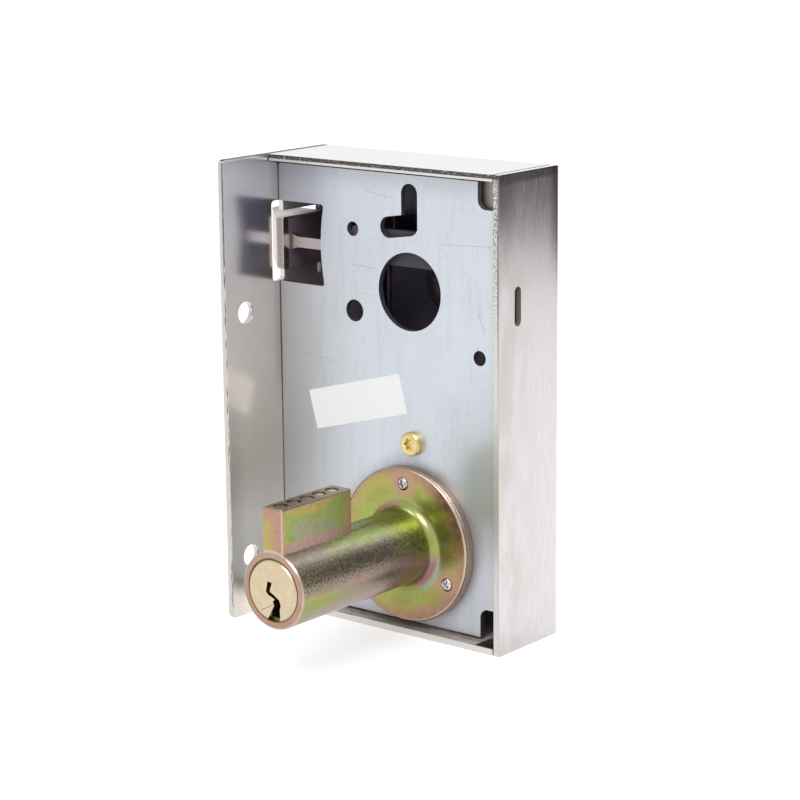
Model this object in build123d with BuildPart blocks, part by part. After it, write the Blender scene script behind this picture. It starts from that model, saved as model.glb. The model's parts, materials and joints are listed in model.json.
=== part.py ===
from build123d import *
import os
from math import atan2, cos, degrees, hypot, pi, radians, sin, sqrt

# Rim box lock, seen from the door side. X runs from the forend to the back wall of the case, and is
# zero on the axis of the cylinder. Y runs into the case, and is zero on the door side of the base
# plate. Z is up, and the case stands on its bottom wall at zero. Lengths are millimetres.

os.makedirs("parts", exist_ok=True)

# Case of folded sheet
case_height = 105.0
case_width = 66.0
case_depth = 23.0
sheet = 1.5
bend_radius = 2.5
backset = 39.1
forend_reach = 14.8
forend_corner_radius = 1.2
seam_gap = 0.25

# Screw holes of the forend
forend_hole_radius = 2.5
forend_hole_setback = 8.4
forend_hole_low = 13.6
forend_hole_pitch = 56.5

# Base plate
plate_recess = 3.3
plate_thickness = 1.5
plate_side_gap = 0.2
plate_end_gap = 0.75
plate_corner_radius = 0.8
hub_hole_radius = 8.65
hub_hole_offset = 0.1
hub_hole_drop = 27.9
small_hole_radius = 1.6
small_hole_setback = 15.85
small_hole_drop = 15.4
medium_hole_radius = 2.45
medium_hole_setback = 15.55
medium_hole_drop = 33.7
fixing_hole_radius = 1.63
fixing_hole_offset = 19.25
fixing_hole_drop = 40.3

# L-shaped slot of the base plate
slot_width = 4.4
slot_offset = 0.2
slot_top_drop = 4.2
slot_length = 10.85
slot_foot_radius = 1.4
lobe_width = 4.7
lobe_reach = 5.8
lobe_fall = 0.9
lobe_drop = 13.25

# Notches at the back corners of the base plate
notch_top_width = 6.35
notch_top_height = 5.9
notch_bottom_width = 5.85
notch_bottom_height = 6.5
notch_radius = 2.0

# Slot in the back wall of the case
wall_slot_length = 8.5
wall_slot_width = 2.3
wall_slot_depth = 3.45
wall_slot_drop = 28.6

# Latch bolt
latch_throw = 9.8
latch_drop = 14.5
latch_height = 11.9
latch_width = 14.7
latch_near_y = -1.0
latch_heel = 2.1
latch_nose_flat = 3.4
latch_edge_radius = 0.5

# Openings for the latch bolt in the forend and in the base plate
latch_clearance = 0.25
latch_headroom = 1.15
opening_near_lead = 1.4
opening_far_lead = 0.6
ear_height = 2.55
ear_near_width = 4.1
ear_far_width = 1.3
ear_radius = 0.9
cutout_reach = 14.85
cutout_bulge = 1.0
cutout_corner_radius = 0.7

# Latch tail
tail_thickness = 1.5
tail_gap = 0.15
tail_fit = 0.05
tenon_depth = 3.0
arm_height = 2.4
arm_rise = 5.0
arm_root_height = 3.6
arm_root_length = 1.9
arm_flare_length = 1.8
tail_plate_start = 17.5
tail_plate_end = 9.5
tail_plate_fall = 2.6
tail_plate_height = 7.9
tail_corner_radius = 0.9
tail_tab_depth = 10.0
tail_tab_inset = 0.3
tail_bend_radius = 0.5
tail_nub_radius = 2.3
tail_nub_length = 1.5

# Crank pin of the tail, turned by the inside knob
crank_pin_radius = 1.5
crank_pin_end_gap = 0.1

# Latch spring and its seat
spring_wire_radius = 0.35
spring_coil_radius = 3.2
spring_turns = 6
spring_depth = 8.0
spring_end_gap = 0.05
spring_seat_radius = 2.3
spring_seat_length = 3.0
spring_seat_chamfer = 0.4

# Guide of the latch arm
guide_gap = 0.3
guide_thickness = 1.5
guide_height = 12.0
guide_foot = 9.0
guide_clearance = 0.15
guide_bend_radius = 0.8

# Transfer lever and the pins that drive it and that it drives
pivot_offset = 0.9
pivot_margin = 2.5
lever_thickness = 1.5
lever_gap = 0.25
lever_boss_radius = 6.5
lever_arm_width = 7.4
lever_elbow_share = 0.42
drive_pin_radius = 1.5
drive_pin_offset = 12.3
drive_pin_rise = 1.2
drive_pin_end_gap = 0.1
drive_clearance = 0.25
drive_notch_depth = 6.1
fork_width = 9.0
fork_root_gap = 0.6
fork_overhang = 1.2
fork_clearance = 0.35
fork_corner_radius = 0.6

# Post of the lever, its washer and its pan-head screw
post_radius = 4.5
pivot_radius = 3.0
running_clearance = 0.05
end_play = 0.1
washer_radius = 5.5
pan_head_radius = 2.7
pan_head_height = 1.6
pan_head_edge = 0.6
pan_shank_radius = 1.9
pan_shank_length = 8.0
thread_clearance = 0.05

# Cylinder
cylinder_height = 20.5
barrel_radius = 8.4
barrel_reach = 45.9
barrel_chamfer = 0.3
flange_radius = 17.5
flange_thickness = 0.8
flange_edge_radius = 0.6
hub_fillet = 2.4
ring_radius = 17.6
ring_thickness = 1.9
tower_width = 5.5
tower_rise = 17.8
tower_length = 22.2
tower_edge_radius = 0.35
plug_radius = 6.6
plug_head_length = 1.35
plug_step = 0.5
plug_chamfer = 0.25
plug_proud = 0.25
keyway_depth = 38.0

# Keyway outline as shares of the plug's radius, clockwise from its top
keyway_shares = [
    (-0.19, 0.30),
    (-0.02, 0.26),
    (-0.09, 0.07),
    (-0.11, -0.04),
    (0.06, -0.12),
    (0.27, -0.24),
    (0.34, -0.41),
    (0.30, -0.59),
    (0.31, -0.80),
    (0.26, -1.10),
    (-0.27, -1.10),
    (-0.22, -0.94),
    (-0.14, -0.83),
    (0.06, -0.47),
    (0.01, -0.34),
    (0.09, -0.26),
    (-0.03, -0.20),
    (-0.18, -0.15),
    (-0.28, -0.06),
    (-0.22, 0.21),
]

# Pin chambers of the cylinder
chamber_radius = 1.45
chamber_first = 2.95
chamber_pitch = 4.05
chamber_count = 5
chamber_floor = 1.6
cap_thickness = 1.0
cap_sink = 0.15
pin_clearance = 0.05
shear_gap = 0.3
driver_length = 4.2
key_pin_chamfer = 0.7

# Flange screws
flange_screw_circle_radius = 14.0
flange_screw_count = 3
flange_screw_angle = 90.0
flange_screw_head_radius = 1.45
flange_screw_proud = 0.45
flange_screw_shank_radius = 0.9
flange_screw_tip = 0.7

# Cam on the inner end of the plug
cam_radius = 7.0
cam_thickness = 1.5
cam_pin_throw = 3.5
cam_pin_radius = 1.5
cam_pin_start_angle = 39.0
cam_pin_overhang = 0.9
cam_screw_circle_radius = 4.8
cam_screw_radius = 0.8
cam_screw_head_radius = 1.3
cam_screw_length = 5.0

# Inside knob, its spindle and the crank on the spindle
bush_radius = 6.0
bush_flange_radius = 8.5
bush_flange_thickness = 1.3
bush_proud = 0.2
spindle_radius = 4.0
spindle_square = 5.4
spindle_inset = 9.0
crank_thickness = 2.0
crank_gap = 0.2
crank_hub_radius = 7.0
crank_width = 8.0
crank_slot_clearance = 0.3
crank_root_gap = 0.25
crank_overhang = 0.4
crank_screw_head_radius = 4.2
crank_screw_head = 1.6
crank_screw_edge = 0.5
crank_screw_radius = 1.4
crank_screw_length = 6.0
knob_gap = 0.4
knob_base_radius = 12.0
knob_base_height = 4.0
knob_base_edge = 1.2
knob_grip_length = 30.0
knob_grip_width = 9.0
knob_grip_height = 14.0
knob_grip_edge = 1.6

# Ledges behind the base plate, and the label
ledge_length = 9.0
ledge_offset = 8.0
ledge_lip = 5.0
ledge_depth = 8.0
ledge_thickness = 1.2
label_length = 27.2
label_width = 9.0
label_thickness = 0.12
label_tilt_angle = 15.0
label_setback = 15.0
label_height = 50.6
label_corner_radius = 0.4

overrun = 1.0

# Places that follow from the sizes above
forend_face_x = -backset
forend_inner_x = forend_face_x + sheet
back_face_x = case_width - backset
back_inner_x = back_face_x - sheet
case_mid_x = (forend_face_x + back_face_x) / 2
case_mid_z = case_height / 2
rim_y = -plate_recess
cover_outer_y = case_depth - plate_recess
cover_inner_y = cover_outer_y - sheet
hub_place = (hub_hole_offset, case_height - hub_hole_drop)
cylinder_place = (0, cylinder_height)
pivot_height = cylinder_height + ring_radius + pan_head_radius + pivot_margin
pivot_place = (pivot_offset, pivot_height)

latch_far_y = latch_near_y + latch_width
latch_back_x = forend_inner_x + latch_heel
latch_nose_x = forend_face_x - latch_throw
latch_top_z = case_height - latch_drop
latch_bottom_z = latch_top_z - latch_height
opening_bottom_z = latch_bottom_z - latch_clearance
opening_top_z = latch_top_z + latch_headroom
opening_mid_z = (opening_bottom_z + opening_top_z) / 2
opening_height = opening_top_z - opening_bottom_z
opening_near_y = latch_near_y - opening_near_lead
opening_far_y = latch_far_y + opening_far_lead
ear_span = opening_height + 2 * ear_height

tail_near_y = plate_thickness + tail_gap
tail_far_y = tail_near_y + tail_thickness
arm_mid_z = latch_bottom_z + arm_rise + arm_height / 2
tail_bottom_z = arm_mid_z - tail_plate_fall
tail_top_z = tail_bottom_z + tail_plate_height
tail_mid_z = (tail_bottom_z + tail_top_z) / 2
drive_pin_place = (-drive_pin_offset, arm_mid_z + drive_pin_rise)
crank_pin_place = (hub_hole_offset - latch_throw / 2, arm_mid_z + drive_pin_rise)
spring_start_x = tail_plate_end + spring_end_gap + spring_wire_radius
spring_end_x = back_inner_x - spring_end_gap - spring_wire_radius

lever_near_y = tail_far_y + lever_gap
lever_far_y = lever_near_y + lever_thickness
crank_far_y = cover_inner_y - bush_flange_thickness - crank_gap
crank_near_y = crank_far_y - crank_thickness
knob_near_y = cover_outer_y + knob_gap

ring_front_y = -ring_thickness
flange_front_y = ring_front_y - flange_thickness
plug_body_radius = plug_radius - plug_step
plug_front_y = -barrel_reach - plug_proud
plug_back_y = plate_thickness + end_play
cam_far_y = plug_back_y + cam_thickness
tower_top_z = cylinder_height + tower_rise
chamber_places = [(0, -barrel_reach + chamber_first + i * chamber_pitch) for i in range(chamber_count)]
pin_radius = chamber_radius - pin_clearance


# A sketch plane at a depth: its axes are X and Z, and it extrudes towards the door
def at_depth(depth):
    return Plane.XZ.offset(-depth)


# A sketch plane across the lock: its axes are Y and Z, and it extrudes towards the back wall
def across(place):
    return Plane.YZ.offset(place)


# The place reached from another at an angle from straight up, positive towards the back wall
def reach(start, angle, distance):
    return (start[0] + distance * sin(radians(angle)), start[1] + distance * cos(radians(angle)))


def bearing(start, end):
    return degrees(atan2(end[0] - start[0], end[1] - start[1]))


def span(start, end):
    return hypot(end[0] - start[0], end[1] - start[1])


def middle(start, end):
    return ((start[0] + end[0]) / 2, (start[1] + end[1]) / 2)


cam_pin_place = reach(cylinder_place, cam_pin_start_angle, cam_pin_throw)


# Case: cover, walls and forend folded from one sheet, with seams beside the top and bottom walls
with BuildPart() as case:
    with BuildSketch(at_depth(cover_outer_y)):
        with Locations((case_mid_x, case_mid_z)):
            Rectangle(case_width, case_height)
    extrude(amount=case_depth)
    fillet(case.faces().sort_by(Axis.Y)[-1].edges(), radius=bend_radius)
    offset(amount=-sheet, openings=case.faces().sort_by(Axis.Y)[0])
    with BuildSketch(at_depth(rim_y)):
        with Locations((forend_face_x + sheet / 2, case_mid_z)):
            Rectangle(sheet, case_height)
    extrude(amount=forend_reach)
    fillet(case.faces().sort_by(Axis.Y)[0].edges().filter_by(Axis.X), radius=forend_corner_radius)
    with BuildSketch(at_depth(cover_outer_y - bend_radius)):
        seam_places = (forend_inner_x + seam_gap / 2, back_inner_x - seam_gap / 2)
        with Locations(*[(x, z) for x in seam_places for z in (0, case_height)]):
            Rectangle(seam_gap, 2 * sheet)
    extrude(amount=case_depth, mode=Mode.SUBTRACT)
    with BuildSketch(across(forend_face_x - overrun)):
        with Locations(((opening_near_y + opening_far_y) / 2, opening_mid_z)):
            Rectangle(opening_far_y - opening_near_y, opening_height)
        with Locations((opening_near_y + ear_near_width / 2, opening_mid_z)):
            RectangleRounded(ear_near_width, ear_span, ear_radius)
        with Locations((opening_far_y - ear_far_width / 2, opening_mid_z)):
            Rectangle(ear_far_width, ear_span)
        forend_hole_y = rim_y - forend_hole_setback
        with Locations(*[(forend_hole_y, forend_hole_low + i * forend_hole_pitch) for i in range(2)]):
            Circle(forend_hole_radius)
    extrude(amount=sheet + 2 * overrun, mode=Mode.SUBTRACT)
    with BuildSketch(across(back_inner_x - overrun)):
        with Locations((wall_slot_depth, case_height - wall_slot_drop)):
            SlotOverall(wall_slot_length, wall_slot_width, rotation=90)
    extrude(amount=sheet + 2 * overrun, mode=Mode.SUBTRACT)
    with BuildSketch(at_depth(cover_outer_y + overrun)):
        with Locations(hub_place):
            Circle(bush_radius + thread_clearance)
    extrude(amount=sheet + 2 * overrun, mode=Mode.SUBTRACT)
case.part.label = "case"
export_step(case.part, "parts/case.step")


# Base plate, with every hole, slot, notch and cut-out of its door side
plate_left_x = forend_inner_x + plate_side_gap
plate_right_x = back_inner_x - plate_side_gap
plate_bottom_z = sheet + plate_end_gap
plate_top_z = case_height - sheet - plate_end_gap
plate_mid = middle((plate_left_x, plate_bottom_z), (plate_right_x, plate_top_z))
with BuildPart() as base_plate:
    with BuildSketch(at_depth(plate_thickness)):
        with Locations(plate_mid):
            plate_width = plate_right_x - plate_left_x
            plate_height = plate_top_z - plate_bottom_z
            RectangleRounded(plate_width, plate_height, plate_corner_radius)
        with Locations(cylinder_place):
            Circle(barrel_radius + running_clearance, mode=Mode.SUBTRACT)
            with PolarLocations(flange_screw_circle_radius, flange_screw_count, flange_screw_angle):
                Circle(flange_screw_shank_radius + thread_clearance, mode=Mode.SUBTRACT)
        with Locations(hub_place):
            Circle(hub_hole_radius, mode=Mode.SUBTRACT)
        with Locations((-small_hole_setback, case_height - small_hole_drop)):
            Circle(small_hole_radius, mode=Mode.SUBTRACT)
        with Locations((-medium_hole_setback, case_height - medium_hole_drop)):
            Circle(medium_hole_radius, mode=Mode.SUBTRACT)
        with Locations((fixing_hole_offset, case_height - fixing_hole_drop)):
            Circle(fixing_hole_radius, mode=Mode.SUBTRACT)
        with Locations(pivot_place):
            Circle(pan_shank_radius + thread_clearance, mode=Mode.SUBTRACT)
    extrude(amount=plate_thickness)
    with BuildSketch(at_depth(plate_thickness + overrun)):
        cutout_right_x = forend_face_x + cutout_reach
        cutout_top_z = opening_mid_z + ear_span / 2
        cutout_bottom_z = opening_mid_z - ear_span / 2
        with BuildLine():
            ThreePointArc(
                (cutout_right_x, cutout_top_z),
                (cutout_right_x - cutout_bulge, opening_mid_z),
                (cutout_right_x, cutout_bottom_z),
            )
            Polyline(
                (cutout_right_x, cutout_bottom_z),
                (plate_left_x - overrun, cutout_bottom_z),
                (plate_left_x - overrun, cutout_top_z),
                (cutout_right_x, cutout_top_z),
            )
        make_face()
        fillet(vertices().sort_by(Axis.X)[-2:], radius=cutout_corner_radius)
    extrude(amount=plate_thickness + 2 * overrun, mode=Mode.SUBTRACT)
    with BuildSketch(at_depth(plate_thickness + overrun)):
        slot_top_z = case_height - slot_top_drop
        slot_bottom_z = slot_top_z - slot_length
        lobe_start = (slot_offset, case_height - lobe_drop)
        lobe_end = (slot_offset - lobe_reach, case_height - lobe_drop - lobe_fall)
        with Locations((slot_offset, (slot_top_z + slot_bottom_z) / 2)):
            SlotOverall(slot_length, slot_width, rotation=90)
        with Locations((slot_offset, slot_bottom_z + slot_width / 2)):
            RectangleRounded(slot_width, slot_width, slot_foot_radius)
        lobe_turn = -90 - bearing(lobe_start, lobe_end)
        with Locations(middle(lobe_start, lobe_end)):
            SlotCenterToCenter(span(lobe_start, lobe_end), lobe_width, rotation=lobe_turn)
        with Locations((slot_offset + (slot_width + lobe_width) / 2, lobe_start[1])):
            Rectangle(lobe_width, 2 * lobe_width, mode=Mode.SUBTRACT)
    extrude(amount=plate_thickness + 2 * overrun, mode=Mode.SUBTRACT)
    with BuildSketch(at_depth(plate_thickness + overrun)):
        with Locations((plate_right_x, plate_top_z)):
            RectangleRounded(2 * notch_top_width, 2 * notch_top_height, notch_radius)
        with Locations((plate_right_x, plate_bottom_z)):
            RectangleRounded(2 * notch_bottom_width, 2 * notch_bottom_height, notch_radius)
    extrude(amount=plate_thickness + 2 * overrun, mode=Mode.SUBTRACT)
base_plate.part.label = "base_plate"
export_step(base_plate.part, "parts/base_plate.step")


# Ledges: two small angles inside the top and bottom walls, which carry the base plate from behind
with BuildPart() as plate_ledges:
    with BuildSketch(across(ledge_offset - ledge_length / 2)):
        with Locations((plate_thickness, sheet)):
            Rectangle(ledge_depth, ledge_thickness, align=Align.MIN)
            Rectangle(ledge_thickness, ledge_lip, align=Align.MIN)
        with Locations((plate_thickness, case_height - sheet)):
            Rectangle(ledge_depth, ledge_thickness, align=(Align.MIN, Align.MAX))
            Rectangle(ledge_thickness, ledge_lip, align=(Align.MIN, Align.MAX))
    extrude(amount=ledge_length)
plate_ledges.part.label = "plate_ledges"
export_step(plate_ledges.part, "parts/plate_ledges.step")


with BuildPart() as label:
    with BuildSketch(at_depth(0)):
        with Locations(Location((-label_setback, label_height), label_tilt_angle)):
            RectangleRounded(label_length, label_width, label_corner_radius)
    extrude(amount=label_thickness)
label.part.label = "label"
export_step(label.part, "parts/label.step")


# Latch head: a bevelled spring bolt with a mortise for its tail
with BuildPart() as latch_head:
    with BuildSketch(Plane.XY.offset(latch_bottom_z)):
        with BuildLine():
            Polyline(
                (latch_back_x, latch_near_y),
                (forend_inner_x, latch_near_y),
                (latch_nose_x, latch_far_y - latch_nose_flat),
                (latch_nose_x, latch_far_y),
                (latch_back_x, latch_far_y),
                close=True,
            )
        make_face()
        fillet(vertices().sort_by(Axis.X)[:3], radius=latch_edge_radius)
    extrude(amount=latch_height)
    fillet(latch_head.faces().sort_by(Axis.X)[0].edges().filter_by(Axis.Y), radius=latch_edge_radius)
    with BuildSketch(across(latch_back_x - tenon_depth)):
        with Locations(((tail_near_y + tail_far_y) / 2, arm_mid_z)):
            Rectangle(tail_thickness + 2 * tail_fit, arm_root_height + 2 * tail_fit)
    extrude(amount=tenon_depth + overrun, mode=Mode.SUBTRACT)
latch_head.part.label = "latch_head"
export_step(latch_head.part, "parts/latch_head.step")


# Latch tail: tenon, arm, driven plate and the bent tab that the spring presses
arm_start_x = latch_back_x - tenon_depth + tail_fit
arm_root_x = latch_back_x + arm_root_length
arm_flare_x = arm_root_x + arm_flare_length
with BuildPart() as latch_tail:
    with BuildSketch(at_depth(tail_far_y)):
        with BuildLine():
            Polyline(
                (arm_start_x, arm_mid_z - arm_root_height / 2),
                (arm_root_x, arm_mid_z - arm_root_height / 2),
                (arm_flare_x, arm_mid_z - arm_height / 2),
                (-tail_plate_start, arm_mid_z - arm_height / 2),
                (-tail_plate_start, arm_mid_z + arm_height / 2),
                (arm_flare_x, arm_mid_z + arm_height / 2),
                (arm_root_x, arm_mid_z + arm_root_height / 2),
                (arm_start_x, arm_mid_z + arm_root_height / 2),
                close=True,
            )
        make_face()
        with Locations(middle((-tail_plate_start, tail_bottom_z), (tail_plate_end, tail_top_z))):
            RectangleRounded(tail_plate_start + tail_plate_end, tail_plate_height, tail_corner_radius)
        with Locations((drive_pin_place[0], tail_top_z)):
            Rectangle(2 * (drive_pin_radius + drive_clearance), 2 * drive_notch_depth, mode=Mode.SUBTRACT)
        with Locations(crank_pin_place):
            Circle(crank_pin_radius + tail_fit, mode=Mode.SUBTRACT)
    extrude(amount=tail_thickness)
    with BuildSketch(across(tail_plate_end - tail_thickness)):
        with Locations((tail_near_y + tail_tab_depth / 2, tail_mid_z)):
            Rectangle(tail_tab_depth, tail_plate_height - 2 * tail_tab_inset)
    extrude(amount=tail_thickness)
    inner_bend = latch_tail.edges().filter_by(Axis.Z).filter_by_position(Axis.Y, tail_far_y, tail_far_y)
    fillet(inner_bend.sort_by(Axis.X)[-1], radius=tail_bend_radius)
    fillet(latch_tail.faces().sort_by(Axis.Y)[-1].edges().filter_by(Axis.X), radius=tail_corner_radius)
    with BuildSketch(across(tail_plate_end)):
        with Locations((spring_depth, tail_mid_z)):
            Circle(tail_nub_radius)
    extrude(amount=tail_nub_length)
latch_tail.part.label = "latch_tail"
export_step(latch_tail.part, "parts/latch_tail.step")


with BuildPart() as tail_pin:
    with BuildSketch(at_depth(crank_far_y - crank_pin_end_gap)):
        with Locations(crank_pin_place):
            Circle(crank_pin_radius)
    extrude(amount=crank_far_y - crank_pin_end_gap - tail_near_y)
    chamfer(tail_pin.faces().sort_by(Axis.Y)[-1].edges(), length=crank_pin_end_gap)
tail_pin.part.label = "tail_pin"
export_step(tail_pin.part, "parts/tail_pin.step")


with BuildPart() as spring_seat:
    with BuildSketch(across(back_inner_x - spring_seat_length)):
        with Locations((spring_depth, tail_mid_z)):
            Circle(spring_seat_radius)
    extrude(amount=spring_seat_length)
    chamfer(spring_seat.faces().sort_by(Axis.X)[0].edges(), length=spring_seat_chamfer)
spring_seat.part.label = "spring_seat"
export_step(spring_seat.part, "parts/spring_seat.step")


# Latch spring: one round wire, wound in half turns of two arcs each
spring_pitch = (spring_end_x - spring_start_x) / spring_turns


def spring_point(turn):
    place = 2 * pi * turn
    return Vector(
        spring_start_x + spring_pitch * turn,
        spring_depth + spring_coil_radius * cos(place),
        tail_mid_z + spring_coil_radius * sin(place),
    )


def spring_heading(turn):
    place = 2 * pi * turn
    lead = spring_pitch / (2 * pi)
    return Vector(lead, -spring_coil_radius * sin(place), spring_coil_radius * cos(place)).normalized()


def arc_joint(start, start_heading, end, end_heading):
    chord = end - start
    bend = 2 * (start_heading.dot(end_heading) - 1)
    run = chord.dot(start_heading + end_heading)
    arm = (run - sqrt(run * run - bend * chord.dot(chord))) / bend
    near = start + start_heading * arm
    far = end - end_heading * arm
    return (near + far) * 0.5, far - near


with BuildPart() as latch_spring:
    with BuildLine() as spring_path:
        for half_turn in range(2 * spring_turns):
            start = spring_point(half_turn / 2)
            end = spring_point((half_turn + 1) / 2)
            joint, heading = arc_joint(
                start, spring_heading(half_turn / 2), end, spring_heading((half_turn + 1) / 2)
            )
            TangentArc(start, joint, tangent=spring_heading(half_turn / 2))
            TangentArc(joint, end, tangent=heading)
    with BuildSketch(Plane(origin=spring_point(0), z_dir=spring_heading(0))):
        Circle(spring_wire_radius)
    sweep(path=spring_path.wires()[0])
latch_spring.part.label = "latch_spring"
export_step(latch_spring.part, "parts/latch_spring.step")

spring_step_count = 48
spring_wire = spring_path.wires()[0]
spring_steps = spring_step_count * spring_turns
wire_points = [spring_wire @ (i / spring_steps) for i in range(spring_steps + 1)]
least_gap = min(
    (wire_points[j] - wire_points[i]).length
    for i in range(spring_steps + 1)
    for j in range(i + spring_step_count // 2, spring_steps + 1)
)
print("latch_spring gap to itself", round(least_gap - 2 * spring_wire_radius, 2))


# Guide of the latch arm, which stops the tail when the latch is out
guide_back_x = -tail_plate_start - guide_gap
guide_front_x = guide_back_x - guide_thickness
with BuildPart() as guide_bracket:
    with BuildSketch(Plane.XY.offset(arm_mid_z - guide_height / 2)):
        with BuildLine():
            Polyline(
                (guide_front_x, tail_near_y),
                (guide_back_x, tail_near_y),
                (guide_back_x, cover_inner_y - guide_thickness),
                (guide_back_x + guide_foot, cover_inner_y - guide_thickness),
                (guide_back_x + guide_foot, cover_inner_y),
                (guide_front_x, cover_inner_y),
                close=True,
            )
        make_face()
    extrude(amount=guide_height)
    bend_edges = guide_bracket.edges().filter_by(Axis.Z)
    fillet(bend_edges.group_by(Axis.X)[1].sort_by(Axis.Y)[-1], radius=guide_bend_radius)
    fillet(bend_edges.group_by(Axis.X)[0].sort_by(Axis.Y)[-1], radius=guide_bend_radius)
    with BuildSketch(across(guide_front_x - overrun)):
        with Locations((tail_near_y, arm_mid_z)):
            Rectangle(2 * (tail_thickness + guide_clearance), arm_height + 2 * guide_clearance)
    extrude(amount=guide_thickness + 2 * overrun, mode=Mode.SUBTRACT)
guide_bracket.part.label = "guide_bracket"
export_step(guide_bracket.part, "parts/guide_bracket.step")


# Transfer lever: the cylinder's cam drives its fork, and its pin draws the latch tail back
fork_bearing = bearing(pivot_place, cam_pin_place)
fork_reach = pivot_height - cylinder_height
fork_slot_start = fork_reach - cam_pin_throw - cam_pin_radius - fork_root_gap
fork_slot_width = 2 * (cam_pin_radius + fork_clearance)
fork_end = fork_reach + fork_overhang
elbow_place = (
    drive_pin_place[0],
    pivot_height + lever_elbow_share * (drive_pin_place[1] - pivot_height),
)
with BuildPart() as lever:
    with BuildSketch(at_depth(lever_far_y)):
        with Locations(pivot_place):
            Circle(lever_boss_radius)
        with Locations(middle(pivot_place, elbow_place)):
            elbow_turn = 90 - bearing(pivot_place, elbow_place)
            SlotCenterToCenter(span(pivot_place, elbow_place), lever_arm_width, rotation=elbow_turn)
        with Locations(middle(elbow_place, drive_pin_place)):
            SlotCenterToCenter(span(elbow_place, drive_pin_place), lever_arm_width, rotation=90)
        with Locations(Location(reach(pivot_place, fork_bearing, fork_end / 2), 90 - fork_bearing)):
            Rectangle(fork_end, fork_width)
        slot_cut = fork_end - fork_slot_start
        slot_middle = reach(pivot_place, fork_bearing, fork_slot_start + slot_cut)
        with Locations(Location(slot_middle, 90 - fork_bearing)):
            SlotOverall(2 * slot_cut, fork_slot_width, mode=Mode.SUBTRACT)
        with Locations(pivot_place):
            Circle(pivot_radius + running_clearance, mode=Mode.SUBTRACT)
        with Locations(drive_pin_place):
            Circle(drive_pin_radius + tail_fit, mode=Mode.SUBTRACT)
    extrude(amount=lever_thickness)
    fork_tips = lever.edges().filter_by(Axis.Y).sort_by(Axis.Z)[:4]
    fillet(fork_tips, radius=fork_corner_radius)
lever.part.label = "lever"
export_step(lever.part, "parts/lever.step")


with BuildPart() as lever_pin:
    with BuildSketch(at_depth(lever_far_y)):
        with Locations(drive_pin_place):
            Circle(drive_pin_radius)
    extrude(amount=lever_far_y - tail_near_y - drive_pin_end_gap)
lever_pin.part.label = "lever_pin"
export_step(lever_pin.part, "parts/lever_pin.step")


# Post between the base plate and the cover, with the lever's journal and a tapped hole
journal_end_y = lever_far_y + end_play
with BuildPart() as pivot_post:
    with BuildSketch(at_depth(cover_inner_y)):
        with Locations(pivot_place):
            Circle(post_radius)
    extrude(amount=cover_inner_y - journal_end_y)
    with BuildSketch(at_depth(journal_end_y)):
        with Locations(pivot_place):
            Circle(pivot_radius)
    extrude(amount=journal_end_y - plate_thickness)
    with BuildSketch(at_depth(pan_shank_length + overrun)):
        with Locations(pivot_place):
            Circle(pan_shank_radius + thread_clearance)
    extrude(amount=pan_shank_length + overrun, mode=Mode.SUBTRACT)
pivot_post.part.label = "pivot_post"
export_step(pivot_post.part, "parts/pivot_post.step")


with BuildPart() as lever_washer:
    with BuildSketch(at_depth(lever_near_y - end_play)):
        with Locations(pivot_place):
            Circle(washer_radius)
            Circle(pivot_radius + running_clearance, mode=Mode.SUBTRACT)
    extrude(amount=lever_near_y - end_play - plate_thickness)
lever_washer.part.label = "lever_washer"
export_step(lever_washer.part, "parts/lever_washer.step")


with BuildPart() as brass_screw:
    with BuildSketch(at_depth(0)):
        with Locations(pivot_place):
            Circle(pan_head_radius)
    extrude(amount=pan_head_height)
    fillet(brass_screw.faces().sort_by(Axis.Y)[0].edges(), radius=pan_head_edge)
    with BuildSketch(at_depth(pan_shank_length)):
        with Locations(pivot_place):
            Circle(pan_shank_radius)
    extrude(amount=pan_shank_length)
brass_screw.part.label = "brass_screw"
export_step(brass_screw.part, "parts/brass_screw.step")


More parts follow.
